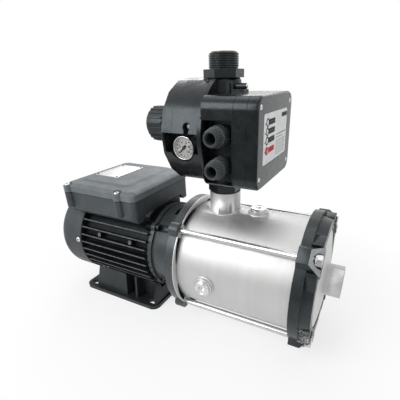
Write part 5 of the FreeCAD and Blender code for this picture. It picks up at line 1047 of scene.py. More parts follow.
class Pattern(NodeTree):
    """A tree of geometry nodes with named inputs that ends in one finish."""

    def __init__(self, name: str, finish: Finish) -> None:
        """Start the tree of a piece with that name and finish.

        Args:
            name: Name of the piece.
            finish: Finish of the piece.
        """
        super().__init__(bpy.data.node_groups.new(name, "GeometryNodeTree"))
        for way in ("INPUT", "OUTPUT"):
            self.tree.interface.new_socket("Geometry", in_out=way, socket_type="NodeSocketGeometry")
        self.name = name
        self.finish = finish
        self.source = self.add("NodeGroupInput")
        self.values: dict[str, object] = {}

    def take(self, name: str, value: object) -> Socket:
        """Add a named input and the value that this piece gives it.

        Args:
            name: Name of the input.
            value: A number, a place or a direction, or an object.

        Returns:
            The input's socket.
        """
        kind = {int: "Int", float: "Float", tuple: "Vector"}.get(type(value), "Object")
        socket = self.tree.interface.new_socket(name, in_out="INPUT", socket_type="NodeSocket" + kind)
        self.values[socket.identifier] = value
        return self.source.outputs[name]

    def turn(self, pole: object, angle: Socket) -> Socket:
        """A turn by an angle about a direction."""
        return self.add("FunctionNodeAxisAngleToRotation", {"Axis": pole, "Angle": angle}).outputs[0]

    def moved(self, geometry: Socket, way: Socket) -> Socket:
        """Geometry shifted along a vector."""
        return self.add("GeometryNodeTransform", {"Geometry": geometry, "Translation": way}).outputs[0]

    def copies(self, points: Socket, shape: Socket, turn: Socket) -> Socket:
        """A shape put on each of some points, with a turn."""
        inputs = {"Points": points, "Instance": shape, "Rotation": turn}
        return self.add("GeometryNodeInstanceOnPoints", inputs).outputs[0]

    def shape_of(self, template: Thing) -> Socket:
        """The geometry of an object that becomes the input named Template."""
        info = self.add("GeometryNodeObjectInfo", {"Object": self.take("Template", template)})
        return info.outputs["Geometry"]

    def made(self, geometry: Socket, angle: float = 35.0, host: bpy.types.Mesh | None = None) -> Thing:
        """Finish the tree and turn it into a plain piece.

        Args:
            geometry: The tree's last geometry.
            angle: Edges sharper than this many degrees stay sharp.
            host: Mesh that the tree starts from, such as a set of spots.

        Returns:
            The piece, shaded smooth.
        """
        real = self.add("GeometryNodeRealizeInstances", {0: geometry})
        inputs = {"Geometry": real.outputs[0], "Material": self.finish.material}
        painted = self.add("GeometryNodeSetMaterial", inputs)
        self.add("NodeGroupOutput", {0: painted.outputs[0]})
        piece = placed(self.name, host or bpy.data.meshes.new(self.name))
        tool = piece.modifiers.new("pattern", "NODES")
        tool.node_group = self.tree
        for identifier, value in self.values.items():
            tool[identifier] = value
        baked(piece)
        work = bmesh.new()
        work.from_mesh(piece.data)
        bmesh.ops.recalc_face_normals(work, faces=work.faces)
        work.to_mesh(piece.data)
        work.free()
        return smooth(piece, angle)


def around(name: str, template: Thing, finish: Finish, count: int, base: Vector, axis: Vector,
           first: float = 0.0, step: float | None = None) -> Thing:
    """Repeat a piece in a circle.

    Args:
        name: Name of the new piece.
        template: The piece to repeat, which is removed.
        finish: Finish of the new piece.
        count: Number of copies.
        base: Place on the circle's axis, in millimetres about the shaft.
        axis: Direction of the axis.
        first: Turn of the first copy in degrees.
        step: Turn between copies in degrees, evenly all round if left out.

    Returns:
        The new piece.
    """
    pattern = Pattern(name, finish)
    shape = pattern.shape_of(template)
    many = pattern.take("Count", count)
    origin = pattern.take("Origin", tuple(at(*base)))
    pole = pattern.take("Axis", tuple(axis))
    start = pattern.take("First angle", math.radians(first))
    turn = pattern.take("Step angle", math.radians(360.0 / count if step is None else step))
    away = pattern.add("ShaderNodeVectorMath", {0: origin, 3: -1.0}, operation="SCALE").outputs[0]
    line = pattern.add("GeometryNodeMeshLine", {"Count": many, "Offset": (0.0, 0.0, 0.0)}).outputs[0]
    index = pattern.add("GeometryNodeInputIndex").outputs[0]
    spin = pattern.turn(pole, pattern.sums("ADD", start, pattern.sums("MULTIPLY", index, turn)))
    copies = pattern.copies(line, pattern.moved(shape, away), spin)
    piece = pattern.made(pattern.moved(copies, origin))
    bpy.data.objects.remove(template)
    return piece


def screw_head(radius: float, height: float, drive: Drive) -> Thing:
    """A screw's head at the frame's zero, pointing up, with its drive cut in.

    Args:
        radius: Radius of the head.
        height: Height of the head.
        drive: The drive.

    Returns:
        The head.
    """
    base = Vector((-FACE_X, 0.0, -SHAFT_Z))
    up = Way.UP.vector
    outline = [(0.0, 0.0), (0.0, radius), (height * 0.45, radius), (height, radius * drive.value),
               (height, 0.0)]
    head = lathe("head", outline, base, up, 28, height * 0.3)
    if drive is Drive.SOCKET:
        return carved(head, [cutter(ring_outline(radius * 0.56, 6), base + up * height * 0.35, up, height)])
    arm, half = radius * 0.56, radius * 0.13
    return carved(head, [cutter([(-a, -b), (a, -b), (a, b), (-a, b)], base + up * height * 0.4, up, height)
                         for a, b in ((arm, half), (half, arm))])


def screws(name: str, size: Pair, spots: Sequence[Vector], axis: Vector, finish: Finish,
           drive: Drive = Drive.CROSS, seed: int = 3) -> Thing:
    """Put screw heads on chosen spots, each turned about its own axis by chance.

    Args:
        name: Name of the new piece.
        size: Radius and height of a head.
        spots: Places of the seats in millimetres about the shaft.
        axis: Direction that the heads point in.
        finish: Finish of the heads.
        drive: Their drive.
        seed: Start of the chance turns.

    Returns:
        The new piece.
    """
    template = screw_head(*size, drive)
    host = bpy.data.meshes.new(name)
    host.from_pydata([tuple(at(*spot)) for spot in spots], [], [])
    pattern = Pattern(name, finish)
    shape = pattern.shape_of(template)
    pole = pattern.take("Axis", tuple(axis))
    chance = pattern.take("Seed", seed)
    lean = pattern.add("FunctionNodeAlignRotationToVector", {"Vector": pole}, axis="Z").outputs[0]
    luck = pattern.add("FunctionNodeRandomValue", {2: 0.0, 3: math.tau, "Seed": chance})
    spin = pattern.turn(Way.UP.value, next(socket for socket in luck.outputs if socket.enabled))
    turn = pattern.add("FunctionNodeRotateRotation", {0: lean, 1: spin}, rotation_space="LOCAL").outputs[0]
    piece = pattern.made(pattern.copies(pattern.source.outputs["Geometry"], shape, turn), host=host)
    bpy.data.objects.remove(template)
    return piece


@dataclass
class SubAssembly:
    """Pieces of the pump that belong together, with the frame's solids by name."""

    nodes: dict[str, Thing]

    def copy(self, node: str, finish: Finish, width: float, cutters: Iterable[Thing] = ()) -> Thing:
        """Dress a copy of a solid in place of the solid.

        Args:
            node: Name of the solid.
            finish: Finish of the copy.
            width: Width of the rounds on its edges in millimetres.
            cutters: What is cut out of it.

        Returns:
            The dressed copy.
        """
        piece = carved(softened_copy(self.nodes[node], node + "_dressed", width), cutters)
        return settle(dress(piece, finish), node)

    def add(self, piece: Thing, finish: Finish, *nodes: str) -> Thing:
        """Shade, dress and settle a piece that stands for some solids or adds to them."""
        return settle(dress(smooth(piece), finish), *nodes)


@dataclass
class Motor(SubAssembly):
    """Finned motor with its rear shield, its fan cover and the foot under it.

    Attributes:
        cover_radius: Radius of the fan cover.
        screw_x: Place of the cover's screws along the shaft.
        screw_angles: Where they stand about the shaft, up from the near side, in degrees.
        screw_size: Radius and height of their heads.
    """

    cover_radius: float = 71.0
    screw_x: float = -188.5
    screw_angles: tuple[float, ...] = (7.0, -65.0, 173.0, -115.0)
    screw_size: Pair = (4.2, 2.5)

    def build(self) -> None:
        """Build and dress the motor."""
        self.copy("fan_cover", Finish.FAN_COVER, 0.35)
        self.copy("motor_housing", Finish.MOTOR, 0.45)
        self.copy("rear_end_shield", Finish.SHIELD, 0.6)
        self.copy("motor_foot", Finish.FOOT, 0.7)
        heads = []
        for k, angle in enumerate(self.screw_angles):
            out = outward(angle)
            spot = Vector((self.screw_x, 0.0, 0.0)) + out * self.cover_radius
            heads.append(screws(f"cover_screw_{k}", self.screw_size, [spot], out, Finish.SCREW, seed=k))
        settle(joined("fan_cover_screw_heads", heads), "fan_cover_screws")


@dataclass
class TerminalBox(SubAssembly):
    """Terminal box on the motor with its screwed lid and nameplate.

    Attributes:
        top: Height of the lid's raised middle.
        seat: Height of the screws' seats.
        columns: Places of the screws along the shaft.
        half_width: Half distance of the screws across the box.
        screw_size: Radius and height of their heads.
        plate_middle: Middle of the nameplate along the shaft and across the box.
        plate_half: Half length and half width of the nameplate.
        rivet_size: Radius and height of the nameplate's rivets.
        rivet_inset: How far the rivets sit in from the nameplate's edges.
    """

    top: float = 103.0
    seat: float = 98.0
    columns: Pair = (-190.0, -93.0)
    half_width: float = 67.0
    screw_size: Pair = (3.9, 2.4)
    plate_middle: Pair = (-156.5, 9.0)
    plate_half: Pair = (22.5, 31.0)
    rivet_size: Pair = (1.5, 0.8)
    rivet_inset: float = 3.2

    def build(self) -> None:
        """Build and dress the box."""
        self.copy("terminal_box", Finish.BOX, 0.6)
        self.copy("terminal_box_lid", Finish.BOX_LID, 0.7)
        self.copy("terminal_box_gland", Finish.GLAND, 0.4)
        spots = [Vector((x, side * self.half_width, self.seat)) for x in self.columns for side in SIDES]
        heads = screws("box_lid_screw_heads", self.screw_size, spots, Way.UP.vector, Finish.SCREW)
        settle(heads, "terminal_box_lid_screws")
        self.nameplate()

    def nameplate(self) -> None:
        """Bare metal plate with a pressed border and four rivets."""
        middle = Vector((*self.plate_middle, self.top))
        raised = middle + Way.UP.vector * 0.4
        half_u, half_v = self.plate_half
        sheet = rounded(prism("nameplate", round_rect(half_u, half_v, 2.0), middle, LEVEL, 0.5), 0.15)
        border = prism("border", round_rect(half_u - 2.0, half_v - 2.0, 1.5), raised, LEVEL, 0.3)
        hole = prism("cut", round_rect(half_u - 2.7, half_v - 2.7, 1.0), middle, LEVEL, 2.0)
        parts = [dress(sheet, Finish.PLATE), dress(carved(border, [hole]), Finish.PLATE)]
        settle(smooth(joined("nameplate", parts)))
        across, along = half_u - self.rivet_inset, half_v - self.rivet_inset
        spots = [raised + Vector((u * across, v * along, 0.0)) for u in SIDES for v in SIDES]
        settle(screws("nameplate_rivets", self.rivet_size, spots, Way.UP.vector, Finish.INK))


@dataclass
class Bracket(SubAssembly):
    """Bracket between motor and barrel with its cap screws.

    Attributes:
        ring: Inner and outer radius of the turned face.
        pocket_floor: Distance of the openings' inner edge from the shaft.
        pocket_angles: Start and end of the openings beside a tie bolt, in degrees from the bolt.
        seat_x: Place of the cap screws' seats.
        circle: Radius of their circle.
        angles: Where they stand about the shaft, in degrees up from the near side.
        screw_size: Radius and height of their heads.
    """

    ring: Pair = (76.3, 83.4)
    pocket_floor: float = 71.5
    pocket_angles: Pair = (6.5, 33.0)
    seat_x: float = -51.0
    circle: float = 62.0
    angles: tuple[float, ...] = (47.0, -47.0, 133.0, -133.0)
    screw_size: Pair = (4.2, 5.0)

    def build(self) -> None:
        """Build and dress the bracket and the bare turned ring of its face."""
        self.copy("pump_bracket", Finish.BRACKET, 0.6, self.pockets(-9.0))
        self.copy("casing_cover", Finish.STAINLESS, 0.3, self.pockets(-9.0))
        spots = [Vector((self.seat_x, 0.0, 0.0)) + outward(angle) * self.circle for angle in self.angles]
        settle(screws("bracket_screw_heads", self.screw_size, spots, Way.SUCTION.vector, Finish.BLACK_SCREW,
                      Drive.SOCKET), "bracket_screws")
        inner, outer = self.ring
        outline = [(-0.8, inner), (-0.8, outer), (0.5, outer), (0.5, inner)]
        face = lathe("bracket_face_ring", outline, HUB, Way.SUCTION.vector, 144, 0.25, 2)
        self.add(carved(face, self.pockets(-2.0)), Finish.MACHINED)

    def pockets(self, back: float) -> list[Thing]:
        """Cutters for the openings beside the tie bolts, from a place along the shaft to the front."""
        return [self.pocket(45.0 + 90.0 * bolt, side, back) for bolt in BOLTS for side in SIDES]

    def pocket(self, bolt: float, side: int, back: float) -> Thing:
        """A curved opening beside a tie bolt that narrows away from it.

        Args:
            bolt: Angle of the bolt about the shaft, in degrees.
            side: Which side of the bolt, -1 or 1.
            back: Where the opening ends along the shaft.

        Returns:
            The cutter.
        """
        first, last = self.pocket_angles
        steps = 8
        low: list[Pair] = []
        high: list[Pair] = []
        for k in range(steps + 1):
            share = k / steps
            angle = math.radians(bolt + side * (first + (last - first) * share))
            reach = self.ring[1] - 1.8 - 5.2 * share ** 1.6
            low.append((self.pocket_floor * math.cos(angle), self.pocket_floor * math.sin(angle)))
            high.append((reach * math.cos(angle), reach * math.sin(angle)))
        return prism("cut", low + high[::-1], Vector((back, 0.0, 0.0)), FRONT, 0.6 - back)


@dataclass
class Barrel(SubAssembly):
    """Stainless barrel with its ports, plugs, tie bolts and clamp flange.

    Attributes:
        radius: Radius of the barrel.
        outlet_x: Place of the outlet along the shaft.
        weld_radii: Radius of the weld ring round the outlet and of its bead.
        weld_seed: Start of the weld's ripples.
        rod_circle: Radius of the tie bolts' circle.
        facing_x: Ends of the lugs' bare facings along the shaft.
        facing_half: Half length and half height of a facing's lozenge.
        lug_front: Place of the lugs' fronts along the shaft.
        lug_tip: Distance of the lugs' tips from the shaft.
        slope_sum: Place along the shaft and distance from it, added, on a lug's slope.
        web_x: Ends of the webs beside the lugs along the shaft.
        web_foot: Distance of the webs' feet from the shaft.
        plugs: Place along the shaft and height in degrees above the near side of each plug.
        plug_face: Distance of the plugs' faces from the shaft.
    """

    radius: float = 75.0
    outlet_x: float = 38.0
    weld_radii: Pair = (21.0, 1.1)
    weld_seed: float = 5.0
    rod_circle: float = 80.5
    facing_x: Pair = (173.1, 179.8)
    facing_half: Pair = (11.9, 9.6)
    lug_front: float = 180.0
    lug_tip: float = 92.0
    slope_sum: float = 259.5
    web_x: Pair = (165.0, 178.4)
    web_foot: float = 74.0
    plugs: tuple[tuple[str, float, float], ...] = (("fill_plug", 86.0, 90.0), ("drain_plug", 42.0, -4.0))
    plug_face: float = 83.0

    def build(self) -> None:
        """Build and dress the barrel."""
        self.copy("pump_casing", Finish.STAINLESS, 0.0)
        self.copy("tie_bolts", Finish.BOLT, 0.0)
        self.copy("tie_bolt_washers", Finish.BOLT, 0.25)
        self.clamp()
        bulge = [(176.0, 20.2), (181.6, 20.2), (181.2, 27.0), (180.3, 38.0), (179.2, 48.0), (177.9, 57.0),
                 (176.9, 63.0), (175.4, 66.4), (174.6, 60.0)]
        self.add(lathe("front_bulge", bulge, HUB, Way.SUCTION.vector, 128, 0.5, 2), Finish.STAINLESS)
        self.weld()
        for node, x, angle in self.plugs:
            self.plug(node, Vector((x, 0.0, 0.0)), outward(angle))

    def weld(self) -> None:
        """Rippled weld bead where the outlet's stub meets the barrel."""
        ring, bead = self.weld_radii
        pattern = Pattern("outlet_weld", Finish.STAINLESS)
        stub = pattern.take("Stub radius", ring * MM)
        wide = pattern.take("Barrel radius", self.radius * MM)
        thick = pattern.take("Bead radius", bead * MM)
        origin = pattern.take("Origin", tuple(at(self.outlet_x, 0.0, 0.0)))
        chance = pattern.take("Seed", self.weld_seed)
        circle = pattern.add("GeometryNodeCurvePrimitiveCircle", {"Resolution": 160, "Radius": stub})
        place = pattern.add("GeometryNodeInputPosition").outputs[0]
        across = pattern.add("ShaderNodeSeparateXYZ", {0: place}).outputs["Y"]
        squares = [pattern.sums("MULTIPLY", value, value) for value in (wide, across)]
        height = pattern.sums("SQRT", pattern.sums("SUBTRACT", *squares))
        lift = pattern.add("ShaderNodeCombineXYZ", {"Z": height})
        saddle = pattern.add("GeometryNodeSetPosition",
                             {"Geometry": circle.outputs[0], "Offset": lift.outputs[0]})
        ripple = pattern.add("ShaderNodeTexNoise", {"Vector": place, "W": chance, "Scale": 900.0},
                             noise_dimensions="4D").outputs[0]
        share = pattern.sums("ADD", pattern.sums("MULTIPLY", ripple, 0.7), 0.65)
        swell = pattern.sums("MULTIPLY", thick, share)
        sized = pattern.add("GeometryNodeSetCurveRadius", {"Curve": saddle.outputs[0], "Radius": swell})
        profile = pattern.add("GeometryNodeCurvePrimitiveCircle", {"Resolution": 8, "Radius": 1.0})
        size = pattern.add("GeometryNodeInputRadius").outputs[0]
        rope = pattern.add("GeometryNodeCurveToMesh",
                           {0: sized.outputs[0], 1: profile.outputs[0], "Scale": size})
        settle(pattern.made(pattern.moved(rope.outputs[0], origin), 60.0))

    def lug_frame(self, bolt: int) -> tuple[Vector, Vector]:
        """Directions of a lug.

        Args:
            bolt: Number of the lug's bolt.

        Returns:
            The directions along the lug and out of it.
        """
        angle = math.radians(45.0 + 90.0 * bolt)
        across, up = math.cos(angle), math.sin(angle)
        return Vector((0.0, -up, across)), Vector((0.0, across, up))

    def slope_cut(self, bolt: int) -> Thing:
        """What is cut off a lug's outer front edge, clear of the bolt's seat.

        Args:
            bolt: Number of the lug's bolt.

        Returns:
            The cutter.
        """
        along, out = self.lug_frame(bolt)
        beyond = 2.0
        front, tip = self.lug_front + beyond, self.lug_tip + beyond
        half, seat_x, seat_radius = 17.2, 150.0, 8.4
        outline = [(self.slope_sum - tip, tip), (front, self.slope_sum - front), (front, tip)]
        wedge = prism("cut", outline, along * -half, (Way.SUCTION.vector, out, along), half * 2)
        seat = cutter(ring_outline(seat_radius, 40), out * self.rod_circle + Vector((seat_x, 0.0, 0.0)),
                      Way.SUCTION.vector, self.facing_x[0] - seat_x - 0.2)
        return carved(wedge, [seat])

    def clamp(self) -> None:
        """Dress the clamp flange: sloped lugs in a pale bare finish that is partly a painted highlight,
        webs at their flanks, and the flanks that face up on the lower lugs painted pale as a highlight.
        """
        flange = softened_copy(self.nodes["front_clamp_flange"], "clamp_flange_dressed", 0.8)
        dress(carved(flange, [self.slope_cut(bolt) for bolt in BOLTS]), Finish.FLANGE)
        for finish in (Finish.FACING, Finish.ROUGH):
            flange.data.materials.append(finish.material)
        facing_slot, rough_slot, nearly = 1, 2, 0.98
        for bolt in BOLTS:
            along, out = self.lug_frame(bolt)
            lean = (out + Way.SUCTION.vector).normalized()
            rise = along * math.copysign(1.0, along.z)
            for face in flange.data.polygons:
                # the lugs' slopes get the pale facing finish, partly a painted highlight
                if face.normal.dot(lean) > nearly:
                    face.material_index = facing_slot
                # painted highlight: on the lower lugs the flanks that face up get the pale rough finish, as
                # if lit from above
                low = out.z < 0.0 and face.center.x > (FACE_X + self.web_x[0]) * MM
                if low and face.normal.dot(rise) > nearly:
                    face.material_index = rough_slot
        settle(flange, "front_clamp_flange")
        parts = [self.facing(bolt) for bolt in BOLTS]
        parts += [self.web(bolt, side) for bolt in BOLTS for side in SIDES]
        settle(smooth(joined("lug_facings", parts), 30.0))

    def facing(self, bolt: int) -> Thing:
        """Bare cast lozenge round a bolt's head, set in the lug's pocket, its pale colour partly a painted
        highlight.

        Args:
            bolt: Number of the bolt.

        Returns:
            The lozenge.
        """
        along, out = self.lug_frame(bolt)
        start, end = self.facing_x
        half_u, half_v = self.facing_half
        base = out * self.rod_circle + Vector((start, 0.0, 0.0))
        outline = [(-half_u, 0.0), (0.0, -half_v), (half_u, 0.0), (0.0, half_v)]
        face = prism("facing", outline, base, (along, out, Way.SUCTION.vector), end - start)
        well = cutter(ring_outline(8.6, 40), base + Way.MOTOR.vector, Way.SUCTION.vector, end - start + 4.0)
        return dress(carved(face, [self.slope_cut(bolt), well]), Finish.FACING)

    def web(self, bolt: int, side: int) -> Thing:
        """Cast web between a lug's flank and the collar.

        Args:
            bolt: Number of the bolt.
            side: Which flank, -1 or 1.

        Returns:
            The web, in the pale rough finish where it faces up on a lower lug, a painted highlight.
        """
        along, out = self.lug_frame(bolt)
        outline = [(side * 15.9, self.lug_tip - 6.0), (side * 33.0, self.web_foot - 2.0),
                   (side * 30.0, self.web_foot - 7.0), (side * 15.9, self.web_foot - 4.0)]
        start, end = self.web_x
        axes = (along, out, Way.SUCTION.vector)
        web = prism("web", outline[::side], Vector((start, 0.0, 0.0)), axes, end - start)
        # painted highlight: a web that faces up on a lower lug gets the pale rough finish
        bare = out.z < 0.0 < (along * side).z
        return dress(rounded(web, 0.6), Finish.ROUGH if bare else Finish.FLANGE)

    def plug(self, node: str, base: Vector, out: Vector) -> None:
        """A turned plug with a deep hexagon socket, seated on a thin washer.

        Args:
            node: The frame's solid that it stands for.
            base: Place on the shaft under the plug.
            out: Direction that the plug faces.
        """
        face = self.plug_face
        outline = [(face - 6.0, 0.0), (face - 6.0, 10.4), (face - 1.4, 10.6), (face, 9.2), (face, 7.6),
                   (face - 0.7, 7.0), (face - 0.7, 0.0)]
        head = lathe(node + "_dressed", outline, base, out, 64, 0.6)
        socket = cutter(ring_outline(4.6, 6, 15.0), base + out * (face - 4.0), out, 8.0)
        self.add(carved(head, [socket]), Finish.PLUG, node)
        seat = [(face - 5.6, 10.0), (face - 5.6, 13.0), (face - 3.8, 13.0), (face - 3.3, 12.4),
                (face - 3.3, 10.0)]
        self.add(lathe(node + "_seat", seat, base, out, 64, 0.4), Finish.STAINLESS)


@dataclass
class Gland:
    """One cable gland of the controller: ribbed body and tapered nut.

    Attributes:
        x: Place along the shaft.
        z: Height.
        panel_y: Face that the gland stands on.
        radius: Radius of the body.
        body: Length of the body.
        length: Distance of the nut's mouth from the panel.
        bore: Radius of the hole.
        ridges: Number of grip ridges in a ring.
    """

    x: float
    z: float
    panel_y: float = -44.0
    radius: float = 12.6
    body: float = 9.5
    length: float = 30.0
    bore: float = 6.0
    ridges: int = 26

    def build(self) -> list[Thing]:
        """Build the gland's pieces.

        Returns:
            The pieces.
        """
        base = Vector((self.x, self.panel_y, self.z))
        out = Way.NEAR.vector
        end, bore = self.length, self.bore
        start = self.body + 0.3
        skirt = start + 8.0
        waist = self.radius - 0.8
        body = [(0.0, bore), (0.0, waist), (self.body, waist), (self.body, bore)]
        nut = [(start, bore), (start, self.radius - 1.2), (skirt, self.radius - 1.6), (skirt + 1.0, 10.2),
               (end - 1.6, 9.0), (end - 1.5, 8.4), (end, 8.3), (end, bore + 0.6), (end - 1.0, bore)]
        return [dress(lathe("body", body, base, out, 48, 0.6), Finish.GLAND),
                dress(lathe("nut", nut, base, out, 48, 0.4, 2), Finish.GLAND),
                self.grip("body_grip", base, ((0.8, 11.4), (self.body - 0.8, 11.4)), 0.12),
                self.grip("nut_grip", base, ((start + 0.3, 11.2), (skirt + 0.4, 10.8)), 0.2),
                self.grip("taper_grip", base, ((skirt + 0.4, 10.6), (end - 2.6, 8.9)), 0.2)]

    def grip(self, name: str, base: Vector, run: tuple[Pair, Pair], lean: float) -> Thing:
        """A ring of slanted grip ridges.

        Args:
            name: Name of the ridges.
            base: Middle of the gland on the panel.
            run: Height above the panel and radius at each end of a ridge.
            lean: Half of the turn between a ridge's ends, in radians.

        Returns:
            The ridges.
        """
        out = Way.NEAR.vector
        side, other = frame_of(out)
        work = bmesh.new()
        corners = []
        for (along, radius), turn in zip(run, (-lean, lean)):
            for spread, rise in ((-0.05, -0.3), (0.0, 0.9), (0.05, -0.3)):
                angle = turn + spread
                spoke = side * math.cos(angle) + other * math.sin(angle)
                corners.append(work.verts.new(at(*(base + out * along + spoke * (radius + rise)))))
        for face in ((0, 1, 4, 3), (1, 2, 5, 4), (2, 0, 3, 5), (0, 2, 1), (3, 4, 5)):
            work.faces.new([corners[k] for k in face])
        return around(name, sealed("ridge", work), Finish.GRIP, self.ridges, base, out)


@dataclass
class Controller(SubAssembly):
    """Pressure controller on the outlet with its case, glands and spring cap.

    Attributes:
        axis_z: Height of the drum's axis.
        outlet_x: Place of the outlet along the shaft.
        gland_x: Place of the glands along the shaft.
        gland_zs: Heights of the glands.
        cap_z: Height of the spring cap's axis.
        cap_x: Ends of the spring cap.
        cap_radius: Radius of the cap under its ribs.
        cap_ribs: Number of ribs.
        thread_z: Ends of the outlet's thread.
        thread_radius: Radius of the middle of the thread's ridge.
        thread_pitch: Rise of a turn of the thread.
        thread_ridge: Half height of the ridge.
        lid_screws: Seat along the shaft, half distance across and both heights of the lid's screws.
        gauge_screw: Place of the screw above the gauge.
        clip_screw: Place of the clip's screw.
        rear_screws: Seat along the shaft and circle of the rear cover's screws.
        plate_travel: Way that the pressure plate moves; not used.
    """

    axis_z: float = 177.0
    outlet_x: float = 38.0
    gland_x: float = 57.0
    gland_zs: Pair = (181.0, 146.0)
    cap_z: float = 183.0
    cap_x: Pair = (-69.5, -41.2)
    cap_radius: float = 22.0
    cap_ribs: int = 20
    thread_z: Pair = (247.0, 264.5)
    thread_radius: float = 16.5
    thread_pitch: float = 2.31
    thread_ridge: float = 0.95
    lid_screws: tuple[float, float, Pair] = (102.2, 52.0, (137.0, 211.0))
    gauge_screw: Triple = (20.4, -53.0, 189.3)
    clip_screw: Triple = (70.0, -9.0, 229.0)
    rear_screws: Pair = (-13.0, 54.5)
    plate_travel: float = 3.0

    def build(self) -> None:
        """Build and dress the controller."""
        for node, width in (("controller_body", 0.7), ("electronics_housing", 0.35),
                            ("controller_lid", 0.5), ("rear_cover", 0.6), ("outlet_fitting", 0.5)):
            self.copy(node, Finish.CONTROLLER, width)
        self.copy("outlet_insert", Finish.BRASS, 0.2)
        glands = [piece for z in self.gland_zs for piece in Gland(self.gland_x, z).build()]
        settle(smooth(joined("gland_set", glands), 30.0), "gland_bodies", "gland_nuts")
        self.cap()
        self.thread()
        self.screws()
        self.spring()

    def spring(self) -> None:
        """Pressure spring, dressed as a copy with a mesh of its own."""
        spring = self.copy("pressure_spring", Finish.SCREW, 0.0)
        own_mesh(spring)

    def thread(self) -> None:
        """Ridge of the outlet's thread, and the brass lip rolled over its mouth."""
        low, high = self.thread_z
        turns = (high - low - 3.0) / self.thread_pitch
        pattern = Pattern("outlet_thread", Finish.CONTROLLER)
        size = pattern.take("Radius", self.thread_radius * MM)
        many = pattern.take("Turns", turns)
        rise = pattern.take("Height", self.thread_pitch * turns * MM)
        half = pattern.take("Ridge", self.thread_ridge * MM)
        origin = pattern.take("Origin", tuple(at(self.outlet_x, 0.0, low + 1.2)))
        spiral = pattern.add("GeometryNodeCurveSpiral",
                             {"Resolution": 64, "Rotations": many, "Start Radius": size, "End Radius": size,
                              "Height": rise})
        upright = pattern.add("GeometryNodeSetCurveNormal", {"Curve": spiral.outputs[0]}, mode="Z_UP")
        profile = pattern.add("GeometryNodeCurvePrimitiveCircle", {"Resolution": 6, "Radius": half})
        ridge = pattern.add("GeometryNodeCurveToMesh",
                            {0: upright.outputs[0], 1: profile.outputs[0], "Fill Caps": True})
        settle(pattern.made(pattern.moved(ridge.outputs[0], origin), 50.0))
        lip = [(high - 3.0, 10.9), (high - 3.0, 11.9), (high - 0.3, 12.4), (high - 0.1, 14.6),
               (high + 0.45, 14.4), (high + 0.5, 12.2), (high - 0.6, 10.9)]
        self.add(lathe("outlet_lip", lip, Vector((self.outlet_x, 0.0, 0.0)), Way.UP.vector, 80, 0.25, 2),
                 Finish.BRASS)

    def cap(self) -> None:
        """Ribbed cap over the pressure spring."""
        start, end = self.cap_x
        radius = self.cap_radius
        base = Vector((0.0, 0.0, self.cap_z))
        outline = [(start + 1.2, 0.0), (start + 1.2, 9.0), (start, 10.5), (start, radius - 4.0),
                   (start + 4.0, radius - 0.4), (end - 1.0, radius), (end, radius - 1.0), (end, 17.0),
                   (end - 3.0, 17.0), (end - 3.0, 0.0)]
        body = lathe("cap_body", outline, base, Way.SUCTION.vector, 80, 1.4, 4)
        profile = [(start + 2.2, radius - 3.4), (start + 4.6, radius + 0.9), (end - 1.6, radius + 1.2),
                   (end - 0.6, radius - 0.6)]
        half = 1.3
        rib = prism("rib", profile, base + Way.NEAR.vector * half,
                    (Way.SUCTION.vector, Way.UP.vector, Way.FAR.vector), half * 2)
        ribs = around("cap_ribs", rounded(rib, 0.5), Finish.CAP, self.cap_ribs, base, Way.SUCTION.vector,
                      9.0)
        settle(smooth(joined("spring_cap_dressed", [dress(body, Finish.CAP), ribs])), "spring_cap")

    def screws(self) -> None:
        """Screws of the lid, the gauge, the clip and the rear cover."""
        x, half, heights = self.lid_screws
        lid = [Vector((x, side * half, z)) for side in SIDES for z in heights]
        rows = (("lid_screws", (3.4, 2.1), lid, Way.SUCTION),
                ("gauge_screw", (2.9, 2.2), [Vector(self.gauge_screw)], Way.NEAR),
                ("clip_screw", (2.3, 1.6), [Vector(self.clip_screw)], Way.SUCTION))
        pieces = [screws(name, size, spots, way.vector, Finish.SCREW) for name, size, spots, way in rows]
        settle(joined("controller_screw_heads", pieces), "controller_screws")
        x, circle = self.rear_screws
        turns = [math.radians(22 + 60 * k) for k in range(6)]
        rear = [Vector((x, -circle * math.cos(turn), self.axis_z + circle * math.sin(turn)))
                for turn in turns]
        settle(screws("rear_cover_screw_heads", (3.6, 2.4), rear, Way.MOTOR.vector, Finish.SCREW),
               "rear_cover_screws")


